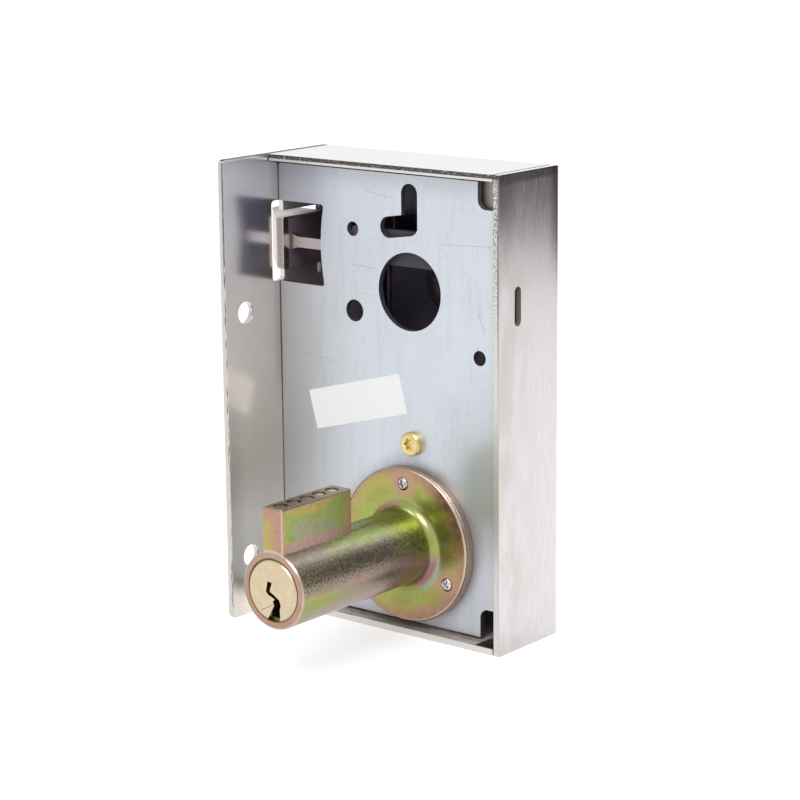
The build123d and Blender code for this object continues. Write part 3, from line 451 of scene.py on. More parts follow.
plateFinish = {
    "pale": (0.655, 0.695, 0.755),
    "dull": (0.53, 0.56, 0.61),
    "worn": (0.44, 0.455, 0.485),
    "bruise": (0.40, 0.435, 0.42),
    "markAndShade": (0.22, 0.23, 0.26),
    "hole": (0.10, 0.09, 0.12),
    "marks": (
        ((18.9, 74.8), (20.7, 70.3), 0.22),
        ((18.7, 66.9), (19.3, 65.0), 0.35),
        ((9.2, 88.4), (23.1, 89.1), 0.16),
        ((-16.4, 81.7), (-9.0, 81.3), 0.2),
        ((-12.0, 98.4), (-4.0, 97.2), 0.14),
        ((12.0, 55.0), (12.6, 51.0), 0.12),
        ((-30.0, 60.0), (-21.0, 59.0), 0.12),
    ),
    "markShare": 0.45,
    "bruiseAt": (21.5, 37.5),
    "bruiseNarrow": 1.2,
    "metallic": 0.75,
    "grains": {
        "grain": {"steps": (2.4, 2.4, 1.4), "detail": 5.0, "roughness": 0.65},
        "cloud": {"steps": (0.06, 0.06, 0.035), "distortion": 0.5},
        "speck": {"steps": (3.1, 3.1, 3.1), "detail": 2.0, "roughness": 0.5},
        "rolled": {"steps": (0.5, 1.0, 0.07), "detail": 4.0, "roughness": 0.6, "distortion": 0.3},
    },
    "zones": {
        "grain": (0.3, 0.7),
        "cloud": (0.4, 0.65, 0.0, 0.45),
        "rolled": (0.48, 0.68, 0.0, 0.22),
        "forendSide": (18.0, 0.0, 0.0, 0.8),
        "floorSide": (22.0, 4.0, 0.0, 0.45),
        "topSide": (-5.0, 0.0, 0.0, 0.4),
        "backSide": (-4.0, 0.0, 0.0, 0.4),
        "upperAcross": (-16.0, -32.0),
        "upperHeight": (76.0, 100.0, 0.0, 0.28),
        "flangeShade": (21.5, 17.0, 0.0, 0.4),
        "bruise": (11.5, 4.5, 0.0, 0.6),
        "speck": (0.70, 0.78, 0.0, 0.5),
        "holeWall": (0.75, 0.4, 0.0, 0.85),
    },
    "sways": {"flangeShade": 6.0, "bruise": 10.0},
    "wallShade": {"plain": 0.6, "grain": 0.5},
    "roughness": {"plain": 0.36, "grain": 0.1, "marks": -0.1},
    "height": {"plain": 0.0, "grain": 0.4, "marks": -1.0},
    "bump": (0.10, 0.05),
}


def makePlateZinc():
    look = plateFinish
    shader = Shader("plateZinc", look)
    place = shader.place()
    x, y, z = shader.axes(place)
    grain = shader.noise(place, "grain")
    cloud = shader.noise(place, "cloud")
    share = shader.zone(grain, "grain")
    colour = shader.between(share, "dull", "pale")
    colour = shader.paint(colour, shader.zone(cloud, "cloud"), "pale")
    colour = shader.paint(colour, shader.zone(shader.noise(place, "rolled"), "rolled"), "worn")
    # painted shade: darker towards the forend, the lower end, the top and the back edge, where the walls of
    # the box shade the plate
    sides = shader.zone(x - plateLow.x, "forendSide") + shader.zone(z - plateLow.z, "floorSide")
    sides = sides + shader.zone(z - plateHigh.z, "topSide") + shader.zone(x - plateHigh.x, "backSide")
    wallShade = shader.least(sides, 1.0) * shader.total("wallShade", grain=grain)
    colour = shader.paint(colour, wallShade, "worn")
    # painted shade at the upper end, towards the forend
    colour = shader.paint(colour, shader.zone(x, "upperAcross") * shader.zone(z, "upperHeight"), "markAndShade")
    # painted shade beside the flange, and a greenish bruise above its right side
    fromAxis = shader.length(x - axisX, z - axisZ)
    colour = shader.paint(colour, shader.zone(fromAxis + shader.sway(cloud, "flangeShade"), "flangeShade"), "markAndShade")
    bruiseX, bruiseZ = look["bruiseAt"]
    fromBruise = shader.length((x - bruiseX) * look["bruiseNarrow"], z - bruiseZ)
    colour = shader.paint(colour, shader.zone(fromBruise + shader.sway(cloud, "bruise"), "bruise"), "bruise")
    colour = shader.paint(colour, shader.zone(shader.noise(place, "speck"), "speck"), "markAndShade")
    marks = 0.0
    for start, end, width in look["marks"]:
        marks = shader.stroke(x, z, start, end, width) + marks
    colour = shader.paint(colour, marks * look["markShare"], "markAndShade")
    # painted shade: the cut edges round the holes are painted nearly black
    colour = shader.paint(colour, shader.zone(abs(shader.facing()[1]), "holeWall"), "hole")
    return shader.finish(
        Base_Color=colour,
        Metallic=look["metallic"],
        Roughness=shader.total("roughness", grain=share, marks=marks),
        Normal=shader.bump(shader.total("height", grain=grain, marks=marks)),
    )


# Values that the casting's finish shares with the screws and the caps in it
screwCircle = 14.0
screwTurns = (90.0, 210.0, 330.0)
capCount = 5

cylinderFinish = {
    "green": (0.29, 0.36, 0.095),
    "olive": (0.30, 0.295, 0.085),
    "gold": (0.43, 0.345, 0.12),
    "copper": (0.41, 0.245, 0.175),
    "rust": (0.34, 0.185, 0.125),
    "rose": (0.46, 0.235, 0.245),
    "mist": (0.36, 0.41, 0.35),
    "haze": (0.31, 0.32, 0.20),
    "ash": (0.33, 0.27, 0.21),
    "mauve": (0.46, 0.32, 0.32),
    "wine": (0.31, 0.13, 0.16),
    "pale": (0.50, 0.53, 0.28),
    "edgeHighlight": (0.72, 0.62, 0.55),
    "front": (0.40, 0.285, 0.215),
    "ring": (0.37, 0.28, 0.20),
    "gleam": (0.88, 0.80, 0.68),
    "brown": (0.25, 0.20, 0.165),
    "umber": (0.10, 0.055, 0.035),
    "sootAndShade": (0.06, 0.048, 0.04),
    "flangeAhead": 0.8,
    "towerMargin": 1.6,
    "towerHalf": 2.75,
    "rimTilt": 0.75,
    "spotTurn": 118.0,
    "crescentTurn": -36.0,
    "paleTurn": 48.0,
    "goldLevel": -0.12,
    "frontTilt": -0.2,
    "roseShare": 0.35,
    "ringShare": 0.85,
    "lipShare": 0.4,
    "gleamAhead": 0.6,
    "plugRadius": 6.6,
    "plugSeamShift": 0.1,
    "capSeat": 1.55,
    "capDepth": 0.5,
    "speckShare": 0.9,
    "grains": {
        "drift": {"steps": (0.16, 0.10, 0.16), "roughness": 0.5, "distortion": 0.3},
        "ripple": {"steps": (0.5, 0.5, 0.5)},
        "streak": {"steps": (0.28, 0.075, 0.28), "roughness": 0.6, "distortion": 0.6},
        "rosePatch": {"steps": (0.16, 0.10, 0.40), "detail": 2.0, "roughness": 0.5, "distortion": 0.8},
        "casting": {"steps": (2.3, 2.3, 2.3), "detail": 4.0, "roughness": 0.75, "distortion": 0.6},
    },
    "zones": {
        "green": (0.40, 0.60),
        "golden": (11.5, 16.0, 0.0, 0.6),
        "wideRim": (4.0, 22.0, 0.0, 2.4),
        "rim": (14.6, 19.0, 0.0, 0.95),
        "rusty": (0.35, 0.65),
        "rimLip": (16.9, 17.3, 0.0, 0.5),
        "screwHalo": (4.6, 1.8, 0.0, 0.85),
        "spot": (0.86, 0.98),
        "spotRadius": (11.4, 9.6, 0.0, 0.75),
        "crescent": (0.80, 0.97),
        "mistRadius": (11.8, 10.4, 0.0, 0.65),
        "wineRadius": (10.3, 9.5, 0.0, 0.9),
        "paleSide": (0.78, 1.0),
        "paleRadius": (12.0, 10.6, 0.0, 0.3),
        "streak": (0.45, 0.65, 0.0, 0.35),
        "barrelTop": (0.60, 0.88, 0.0, 0.75),
        "topDepth": (-38.0, -28.0),
        "lowerSide": (0.0, -0.3),
        "lowerDepth": (-30.0, -40.0, 0.0, 0.8),
        "rearSide": (0.1, 0.45),
        "rearDepth": (-20.0, -8.0, 0.0, 0.85),
        "goldLine": (0.16, 0.0),
        "goldDepth": (-30.0, -44.0, 0.0, 0.7),
        "rosePatch": (0.47, 0.60),
        "roseSide": (0.25, -0.15),
        "roseDepth": (-38.0, -26.0, 0.0, 0.75),
        "underSide": (-0.30, -0.70),
        "underDepth": (-48.0, -38.0, 0.2, 0.7),
        "barrelMist": (0.55, 0.7, 0.0, 0.25),
        "towerGreen": (0.2, 2.6),
        "towerHaze": (2.0, 6.0, 0.0, 0.85),
        "towerFoot": (11.5, 8.6, 0.0, 0.8),
        "towerEdge": (0.9, 0.2, 0.0, 0.6),
        "towerFront": (0.5, 0.2),
        "redSide": (-1.6, 2.0),
        "redTop": (4.5, 0.5),
        "lipSide": (-0.35, -0.2),
        "lipTop": (0.35, 0.2),
        "towerTop": (0.4, 0.2, 0.0, 0.85),
        "onFlange": (-3.0, -1.4),
        "onTower": (8.5, 8.8),
        "onFront": (0.5, 0.2),
        "onRing": (17.35, 17.5),
        "frontCopper": (0.4, 0.6, 0.0, 0.5),
        "frontRust": (0.45, 0.7, 0.0, 0.5),
        "frontLip": (8.0, 8.25, 0.0, 0.4),
        "gleamFoot": (0.25, 0.55),
        "gleamHead": (0.98, 0.85),
        "gleamDepth": (0.55, 0.15, 0.0, 0.7),
        "plugSeam": (0.30, 0.14, 0.0, 0.9),
        "capSeam": (0.26, 0.08, 0.0, 0.85),
        "capSoot": (0.35, 0.55),
        "speck": (0.45, 0.57),
        "speckHead": (0.8, 0.5),
        "speckFoot": (-0.15, 0.3),
        "rough": (0.4, 0.7),
    },
    "sways": {
        "goldenDrift": 8.0,
        "goldenRipple": 4.0,
        "rimRipple": 6.0,
        "rimDrift": 4.0,
        "screwHalo": 2.0,
        "crescent": 0.1,
        "barrelTop": 0.4,
        "lowerDepth": 16.0,
        "rearDepth": 14.0,
        "goldLine": 0.3,
        "towerBorder": 12.0,
        "towerFoot": 3.0,
        "redSide": 5.0,
        "gleamFoot": 0.3,
        "gleamDepth": 1.2,
    },
    "specks": {"plain": 0.10, "side": 0.9},
    "roughness": {"plain": 0.24, "specks": 0.25, "ripple": 0.08},
    "height": {"plain": 0.0, "casting": 1.0, "ripple": 0.15},
    "bump": (0.3, 0.10),
}


def flangeColour(shader, x, rise, radius, drift, ripple):
    # green inside, copper at the rim and round the screws
    look = cylinderFinish

    def towards(degrees):
        # 1 where a place lies right in that direction from the axis
        turn = math.radians(degrees)
        return (x * math.cos(turn) + rise * math.sin(turn)) / radius

    colour = shader.between(shader.zone(drift, "green"), "olive", "green")
    goldenRadius = radius + shader.sway(drift, "goldenDrift") + shader.sway(ripple, "goldenRipple")
    colour = shader.paint(colour, shader.zone(goldenRadius, "golden"), "gold")
    # the copper is widest at the upper and at the lower right
    wideRim = shader.zone(x * look["rimTilt"] + abs(rise), "wideRim")
    rimRadius = radius + wideRim + shader.sway(ripple, "rimRipple") + shader.sway(drift, "rimDrift")
    rusty = shader.between(shader.zone(ripple, "rusty"), "rust", "copper")
    colour = shader.blend(shader.zone(rimRadius, "rim"), colour, rusty)
    # painted highlight on the front edge of the flange's rim
    colour = shader.paint(colour, shader.zone(radius, "rimLip"), "edgeHighlight")
    for turn in screwTurns:
        screwX = screwCircle * math.cos(math.radians(turn))
        screwZ = screwCircle * math.sin(math.radians(turn))
        fromScrew = shader.length(x - screwX, rise - screwZ) + shader.sway(ripple, "screwHalo")
        colour = shader.paint(colour, shader.zone(fromScrew, "screwHalo"), "copper")
    # at the fillet: a brown spot above, and a rose crescent with a pale border below
    spot = shader.zone(towards(look["spotTurn"]), "spot") * shader.zone(radius, "spotRadius")
    crescent = shader.zone(towards(look["crescentTurn"]) + shader.sway(ripple, "crescent"), "crescent")
    # painted highlight: a pale arc on the fillet at its upper right
    pale = shader.zone(towards(look["paleTurn"]), "paleSide") * shader.zone(radius, "paleRadius")
    colour = shader.paint(colour, pale, "pale")
    colour = shader.paint(colour, spot, "copper")
    colour = shader.paint(colour, crescent * shader.zone(radius, "mistRadius"), "mist")
    return shader.paint(colour, crescent * shader.zone(radius, "wineRadius"), "wine")


def barrelColour(shader, place, y, upright, drift, ripple):
    # ash brown, green along the top and in patches, rose streaks below
    look = cylinderFinish
    colour = shader.between(shader.zone(shader.noise(place, "streak"), "streak"), "ash", "green")
    top = shader.zone(upright + shader.sway(drift, "barrelTop"), "barrelTop")
    colour = shader.blend(top, colour, shader.between(shader.zone(y, "topDepth"), "ash", "green"))
    for side, depth in (("lowerSide", "lowerDepth"), ("rearSide", "rearDepth")):
        patch = shader.zone(upright, side) * shader.zone(y + shader.sway(drift, depth), depth)
        colour = shader.paint(colour, patch, "green")
    fromLine = abs(upright - look["goldLevel"] + shader.sway(drift, "goldLine"))
    colour = shader.paint(colour, shader.zone(fromLine, "goldLine") * shader.zone(y, "goldDepth"), "gold")
    rose = shader.zone(shader.noise(place, "rosePatch"), "rosePatch") * shader.zone(upright, "roseSide")
    colour = shader.paint(colour, rose * shader.zone(y, "roseDepth"), "rose")
    colour = shader.paint(colour, shader.zone(upright, "underSide") * shader.zone(y, "underDepth"), "mauve")
    return shader.paint(colour, shader.zone(ripple, "barrelMist"), "mist")


def towerColour(shader, x, y, rise, topRise, drift, ripple):
    # sides with a grey middle, yellow-green round it and rose along the barrel; copper ends
    look = cylinderFinish
    fromFront = y - bodyLow.y
    fromBack = boxOf("pin_caps")[1].y + look["towerMargin"] - y
    fromTop = topRise - rise
    edge = shader.least(shader.least(fromFront, fromBack), fromTop)
    border = edge + shader.sway(drift, "towerBorder")
    colour = shader.between(shader.zone(border, "towerGreen"), "gold", "green")
    colour = shader.paint(colour, shader.zone(border, "towerHaze"), "haze")
    colour = shader.paint(colour, shader.zone(rise + shader.sway(ripple, "towerFoot"), "towerFoot"), "rose")
    colour = shader.paint(colour, shader.zone(edge, "towerEdge"), "copper")
    front = shader.zone(fromFront, "towerFront")
    redSide = shader.zone(x + shader.sway(ripple, "redSide"), "redSide")
    redder = shader.most(redSide, shader.zone(fromTop, "redTop"))
    frontColour = shader.paint(shader.between(redder, "gold", "copper"), redder * look["roseShare"], "rose")
    colour = shader.blend(front, colour, frontColour)
    # painted highlight along the side and top edges of the tower's front
    edgeHighlight = shader.zone(abs(x) - look["towerHalf"], "lipSide") + shader.zone(fromTop, "lipTop")
    colour = shader.paint(colour, shader.least(front * edgeHighlight, 1.0) * look["lipShare"], "edgeHighlight")
    return shader.paint(colour, shader.zone(fromTop, "towerTop"), "brown")


def makePassivated():
    look = cylinderFinish
    shader = Shader("yellowPassivation", look)
    place = shader.place()
    x, y, z = shader.axes(place)
    rise = z - axisZ
    radius = shader.length(x, rise)
    upright = rise / radius
    drift = shader.noise(place, "drift")
    ripple = shader.noise(place, "ripple")
    fromFlange = y - (boxOf("flange_ring")[0].y - look["flangeAhead"])
    topRise = bodyHigh.z - axisZ
    onFlange = shader.zone(fromFlange, "onFlange")
    onTower = shader.zone(radius, "onTower") * (1 - onFlange)
    onFront = shader.zone(y - bodyLow.y, "onFront") * (1 - onTower)
    onRing = shader.zone(radius, "onRing")
    colour = barrelColour(shader, place, y, upright, drift, ripple)
    colour = shader.blend(onFlange, colour, flangeColour(shader, x, rise, radius, drift, ripple))
    colour = shader.blend(onTower, colour, towerColour(shader, x, y, rise, topRise, drift, ripple))
    front = shader.between(shader.zone(ripple, "frontCopper"), "front", "copper")
    front = shader.paint(front, shader.zone(drift + upright * look["frontTilt"], "frontRust"), "rust")
    # painted highlight at the outer edge of the front ring
    front = shader.paint(front, shader.zone(radius, "frontLip"), "edgeHighlight")
    colour = shader.blend(onFront, colour, front)
    colour = shader.paint(colour, onRing * look["ringShare"], "ring")
    # painted highlight: a gleam along the upper right of the flange ring
    gleam = shader.zone(upright + shader.sway(ripple, "gleamFoot"), "gleamFoot") * (x > 0.0)
    fromGleam = abs(fromFlange - look["gleamAhead"] + shader.sway(ripple, "gleamDepth"))
    gleam = gleam * shader.zone(upright, "gleamHead") * shader.zone(fromGleam, "gleamDepth") * onRing
    colour = shader.paint(colour, gleam, "gleam")
    # soot where the plug and the caps meet the casting
    fromPlug = abs(radius - look["plugRadius"] - look["plugSeamShift"])
    colour = shader.paint(colour, shader.zone(fromPlug, "plugSeam") * onFront, "umber")
    seam = 0.0
    capLow, capHigh = boxOf("pin_caps")
    capRadius = (capHigh.x - capLow.x) / 2
    pitch = (capHigh.y - capLow.y - 2 * capRadius) / (capCount - 1)
    onTop = (rise > topRise - look["capDepth"]) * shader.zone(ripple, "capSoot")
    for index in range(capCount):
        capY = capLow.y + capRadius + index * pitch
        fromSeat = abs(shader.length(x, y - capY) - look["capSeat"])
        seam = shader.most(seam, shader.zone(fromSeat, "capSeam") * onTop)
    colour = shader.paint(colour, seam, "sootAndShade")
    # the casting's grain shows along the side of the barrel
    casting = shader.noise(place, "casting")
    onCasting = (1 - onFlange) * (1 - onFront)
    side = shader.zone(upright, "speckHead") * shader.zone(upright, "speckFoot") * (1 - onTower)
    specks = shader.zone(casting, "speck") * onCasting * shader.total("specks", side=side)
    colour = shader.paint(colour, specks * look["speckShare"], "sootAndShade")
    return shader.finish(
        Base_Color=colour,
        Metallic=1.0,
        Roughness=shader.total("roughness", specks=specks, ripple=shader.zone(ripple, "rough")),
        Normal=shader.bump(shader.total("height", casting=casting * onCasting, ripple=ripple)),
    )


plugFinish = {
    "brass": (0.62, 0.525, 0.37),
    "deep": (0.52, 0.42, 0.27),
    "umber": (0.22, 0.10, 0.05),
    "sootAndShade": (0.05, 0.03, 0.022),
    "line": ((-3.4, -4.8), (0.0, -3.2), 0.16),
    "lineShare": 0.8,
    "faceDepth": 0.6,
    "keywayShare": 0.92,
    "turnedRings": 45.0,
    "grains": {"cloud": {"steps": (0.5, 0.5, 0.5)}},
    "zones": {
        "brass": (0.35, 0.75, 0.3, 1.0),
        "rough": (0.4, 0.7),
        "keyway": (-0.4, 0.8),
        "keywayDeepShade": (-0.2, -2.2),
    },
    "roughness": {"plain": 0.24, "cloud": 0.1, "keyway": 0.2},
    "height": {"plain": 0.0, "turned": 0.12, "line": -3.0},
    "bump": (0.15, 0.03),
}


def makePlugBrass():
    look = plugFinish
    shader = Shader("plugBrass", look)
    place = shader.place()
    x, y, z = shader.axes(place)
    rise = z - axisZ
    radius = shader.length(x, rise)
    turned = shader.add("ShaderNodeMath", {"operation": "SINE"}, {0: radius * look["turnedRings"]})
    cloud = shader.noise(place, "cloud")
    colour = shader.between(shader.zone(cloud, "brass"), "deep", "brass")
    fromFace = y - plugLow.y - look["faceDepth"]
    line = shader.stroke(x, rise, *look["line"]) * (fromFace < 0.0)
    colour = shader.paint(colour, line * look["lineShare"], "umber")
    # painted shade: the keyway is painted umber at its top and black lower down
    keyway = shader.zone(fromFace, "keyway")
    keywayColour = shader.between(shader.zone(rise, "keywayDeepShade"), "umber", "sootAndShade")
    colour = shader.blend(keyway * look["keywayShare"], colour, keywayColour)
    return shader.finish(
        Base_Color=colour,
        Metallic=1.0,
        Roughness=shader.total("roughness", cloud=shader.zone(cloud, "rough"), keyway=keyway),
        Normal=shader.bump(shader.total("height", turned=turned, line=line)),
    )


latchFinish = {
    "pale": (0.60, 0.545, 0.50),
    "dull": (0.44, 0.40, 0.37),
    "dark": (0.17, 0.125, 0.165),
    "deepShade": (0.025, 0.022, 0.034),
    "topDepth": 0.3,
    "headMargin": 0.1,
    "forendAhead": -0.4,
    "darkShare": 0.95,
    "grains": {"grain": {"steps": (3.0, 3.0, 3.0), "detail": 4.0, "roughness": 0.6}},
    "zones": {
        "grain": (0.3, 0.7),
        "behind": (-24.6, -22.6),
        "opening": (0.6, 1.3),
        "top": (2.0, 11.0, 0.0, 0.8),
        "deepShade": (-20.0, -8.0),
    },
    "metallic": {"plain": 1.0, "dark": -0.7},
    "roughness": {"plain": 0.26, "dark": 0.2, "grain": 0.08},
    "bump": (0.12, 0.04),
}


def makeLatchNickel():
    # bright where it shows in the forend; painted shade makes it dark behind the base plate, in the forend's
    # opening and on its top face, darkest far behind
    look = latchFinish
    shader = Shader("latchNickel", look)
    place = shader.place()
    x, y, z = shader.axes(place)
    grain = shader.noise(place, "grain")
    share = shader.zone(grain, "grain")
    headHigh = boxOf("latch_head")[1]
    topZ = headHigh.z - look["topDepth"]
    deep = shader.ease(x - caseLow.x, look["forendAhead"], sheet) * shader.zone(y, "opening")
    deep = deep * (z < topZ) * (x < headHigh.x + look["headMargin"])
    onTop = (z > topZ) * shader.zone(y, "top")
    dark = shader.most(shader.most(shader.zone(x, "behind"), deep), onTop)
    deepShade = shader.between(shader.zone(x, "deepShade"), "dark", "deepShade")
    return shader.finish(
        Base_Color=shader.blend(dark * look["darkShare"], shader.between(share, "dull", "pale"), deepShade),
        Metallic=shader.total("metallic", dark=dark),
        Roughness=shader.total("roughness", dark=dark, grain=share),
        Normal=shader.bump(grain),
    )


# Plain metals: the pale and the dull tone, how rough, and the grain's steps
metalFinishes = {
    "tabSteel": ((0.42, 0.37, 0.31), (0.34, 0.30, 0.25), 0.42, (2.0, 2.0, 2.0)),
    # painted shade: the steel of the pieces inside the box is a dark copy of plain steel
    "innerSteel": ((0.18, 0.15, 0.19), (0.09, 0.075, 0.10), 0.36, (3.0, 3.0, 0.5)),
    "springWire": ((0.32, 0.31, 0.32), (0.18, 0.17, 0.18), 0.28, (5.0, 1.5, 1.5)),
    "screwZinc": ((0.74, 0.73, 0.72), (0.34, 0.32, 0.31), 0.14, (3.0, 3.0, 3.0)),
    "yellowBrass": ((0.78, 0.66, 0.35), (0.58, 0.44, 0.18), 0.24, (2.2, 2.2, 2.2)),
    "knobSatin": ((0.66, 0.65, 0.64), (0.56, 0.55, 0.54), 0.30, (6.0, 0.4, 6.0)),
}


def makeMetal(name):
    pale, dull, rough, steps = metalFinishes[name]
    look = {
        "pale": pale,
        "dull": dull,
        "grains": {
            "grain": {"steps": steps, "detail": 4.0, "roughness": 0.6},
            "cloud": {"steps": (0.25, 0.25, 0.25)},
        },
        "zones": {"grain": (0.3, 0.7, 0.0, 0.6), "cloud": (0.35, 0.65, 0.0, 0.4)},
        "roughness": {"plain": rough, "share": 0.1},
        "bump": (0.12, 0.04),
    }
    shader = Shader(name, look)
    place = shader.place()
    grain = shader.noise(place, "grain")
    share = shader.zone(grain, "grain") + shader.zone(shader.noise(place, "cloud"), "cloud")
    return shader.finish(
        Base_Color=shader.between(share, "dull", "pale"),
        Metallic=1.0,
        Roughness=shader.total("roughness", share=share),
        Normal=shader.bump(grain),
    )


capFinish = {
    "bright": (0.86, 0.72, 0.46),
    "dull": (0.36, 0.25, 0.18),
    "rough": 0.3,
    "grains": {"grain": {"steps": (2.4, 2.4, 2.4), "detail": 4.0, "roughness": 0.6}},
    "zones": {"bright": (-36.5, -29.0)},
    "sways": {"bright": 6.0},
    "bump": (0.12, 0.04),
}


def makeCapBrass():
    # the caps near the flange are bright, and those at the front went dull with the casting
    look = capFinish
    shader = Shader("capBrass", look)
    place = shader.place()
    y = shader.axes(place)[1]
    grain = shader.noise(place, "grain")
    bright = shader.zone(y + shader.sway(grain, "bright"), "bright")
    return shader.finish(
        Base_Color=shader.between(bright, "dull", "bright"),
        Metallic=1.0,
        Roughness=look["rough"],
        Normal=shader.bump(grain),
    )


labelFinish = {
    "paper": (0.97, 0.97, 0.98),
    "worn": (0.92, 0.922, 0.94),
    "grains": {
        "fibre": {"steps": (2.0, 2.0, 2.0), "detail": 4.0, "roughness": 0.6},
        "fold": {"steps": (0.12, 0.12, 0.12), "detail": 2.0},
    },
    "zones": {"paper": (0.3, 0.75)},
    "roughness": {"plain": 0.42, "fibre": 0.15},
    "height": {"plain": 0.0, "fold": 1.0, "fibre": 0.05},
    "bump": (0.2, 0.3),
}


def makeLabelFilm():
    shader = Shader("labelFilm", labelFinish)
    place = shader.place()
    fibre = shader.noise(place, "fibre")
    fold = shader.noise(place, "fold")
    return shader.finish(
        Base_Color=shader.between(shader.zone(fibre, "paper"), "worn", "paper"),
        Roughness=shader.total("roughness", fibre=fibre),
        Normal=shader.bump(shader.total("height", fold=fold, fibre=fibre)),
    )


finishes = {
    "caseSteel": makeCaseSteel(),
    "plateZinc": makePlateZinc(),
    "passivated": makePassivated(),
    "plugBrass": makePlugBrass(),
    "capBrass": makeCapBrass(),
    "labelFilm": makeLabelFilm(),
    "latchNickel": makeLatchNickel(),
}
for metalName in metalFinishes:
    finishes[metalName] = makeMetal(metalName)
print("finishes made:", len(finishes))


def link(name, mesh, finish):
    piece = bpy.data.objects.new(name, mesh)
    bpy.context.scene.collection.objects.link(piece)
    mesh.materials.clear()
    mesh.materials.append(finishes[finish])
    return piece


def bake(piece, modifier):
    # the modifier's result becomes the piece's own mesh
    finished = bpy.data.meshes.new_from_object(piece.evaluated_get(bpy.context.evaluated_depsgraph_get()))
    piece.modifiers.remove(modifier)
    piece.data = finished


def settle(piece, node):
    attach(piece, bodyOf[node])
    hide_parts(node)
    return piece


# Copies of the CAD pieces with softened edges: real sheet and castings have no sharp corner
softening = {"mergeWithin": 0.002, "flatWithin": 0.5, "sharpFrom": 28.0, "segments": 2}
softPieces = {
    "case": {"name": "foldedCase", "edge": 0.12, "finish": "caseSteel"},
    "base_plate": {"name": "basePlate", "edge": 0.10, "finish": "plateZinc"},
    "latch_head": {"name": "latchHead", "edge": 0.12, "finish": "latchNickel"},
    "latch_tail": {"name": "latchTail", "edge": 0.10, "finish": "latchNickel", "flare": (-32.7, -34.6, 1.7)},
    "lever": {"name": "transferLever", "edge": 0.10, "finish": "innerSteel"},
    "guide_bracket": {"name": "guideBracket", "edge": 0.10, "finish": "innerSteel"},
    "cylinder_body": {"name": "cylinderBody", "edge": 0.16, "finish": "passivated"},
    "flange_ring": {"name": "flangeRing", "edge": 0.12, "finish": "passivated"},
    "cylinder_plug": {"name": "cylinderPlug", "edge": 0.06, "finish": "plugBrass"},
    "inside_knob": {"name": "insideKnob", "edge": 0.25, "finish": "knobSatin"},
    "knob_crank": {"name": "knobCrank", "edge": 0.10, "finish": "innerSteel"},
    "plate_ledges": {"name": "plateLedges", "edge": 0.10, "finish": "plateZinc"},
}
sharpAngle = math.radians(softening["sharpFrom"])


def softCopy(node, look):
    work = bmesh.new()
    work.from_mesh(nodes[node].data)
    if "flare" in look:
        # the arm flares out right at the head
        outer, inner, shift = look["flare"]
        for vertex in work.verts:
            if inner - shift / 2 < vertex.co.x / mm < outer + shift:
                vertex.co.x -= shift * mm
    bmesh.ops.remove_doubles(work, verts=work.verts, dist=softening["mergeWithin"] * mm)
    flat = math.radians(softening["flatWithin"])
    bmesh.ops.dissolve_limit(work, angle_limit=flat, verts=work.verts, edges=work.edges)
    mesh = bpy.data.meshes.new(look["name"])
    work.to_mesh(mesh)
    work.free()
    piece = link(look["name"], mesh, look["finish"])
    mesh.shade_smooth()
    mesh.set_sharp_from_angle(angle=sharpAngle)
    bevel = piece.modifiers.new("softEdge", "BEVEL")
    bevel.width = look["edge"] * mm
    bevel.segments = softening["segments"]
    bevel.limit_method = "ANGLE"
    bevel.angle_limit = sharpAngle
    bevel.harden_normals = True
    bake(piece, bevel)
    return settle(piece, node)


for node, look in softPieces.items():
    softCopy(node, look)
print("softened copies made:", len(softPieces))


# The coil spring keeps the CAD spring's shape: how far it would close up against the back wall as the latch
# goes in is worked out but not used
def makeCoilSpring():
    low, high = boxOf("latch_spring")
    slide = [joint for joint in frame["record"]["behaviour"]["joints"] if joint["child"] == "latch"][0]
    fixedX = caseHigh.x - sheet
    stroke = slide["range_m"][1] / mm
    spring = settle(link("coilSpring", nodes["latch_spring"].data.copy(), "springWire"), "latch_spring")
    1 - stroke / (fixedX - low.x)
    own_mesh(spring)


makeCoilSpring()


# A turned piece on the Z axis from rings of (radius, height, lobe share), with a lobed recess
def turnedMesh(name, rings, lobes, steps):
    work = bmesh.new()
    turns = [2 * math.pi * step / steps for step in range(steps)]
    loops = []
    for radius, height, lobeShare in rings:
        reach = [radius * (1 + lobeShare * math.cos(lobes * turn)) for turn in turns]
        loops.append([
            work.verts.new((r * math.cos(turn) * mm, r * math.sin(turn) * mm, height * mm))
            for r, turn in zip(reach, turns)
        ])
    for inner, outer in zip(loops, loops[1:]):
        for step in range(steps):
            after = (step + 1) % steps
            work.faces.new((inner[step], outer[step], outer[after], inner[after]))
    work.faces.new(loops[0])
    work.faces.new(list(reversed(loops[-1])))
    bmesh.ops.recalc_face_normals(work, faces=work.faces)
    mesh = bpy.data.meshes.new(name)
    work.to_mesh(mesh)
    work.free()
    mesh.shade_smooth()
    mesh.set_sharp_from_angle(angle=sharpAngle)
    return mesh


# Pan-head screw under the label, with a star recess of six lobes
panScrew = {
    "lobes": 6,
    "steps": 72,
    "recessDepth": 0.9,
    "recessRadius": 1.25,
    "recessLobe": 0.17,
    "recessFloor": 0.86,
    "recessEase": 0.06,
    "recessFlare": 0.07,
    "flareLobe": 0.9,
    "flatRing": 0.45,
    "edge": 0.55,
    "edgeArc": ((0.5, 0.13), (0.13, 0.5)),
    "shankRadius": 1.9,
}


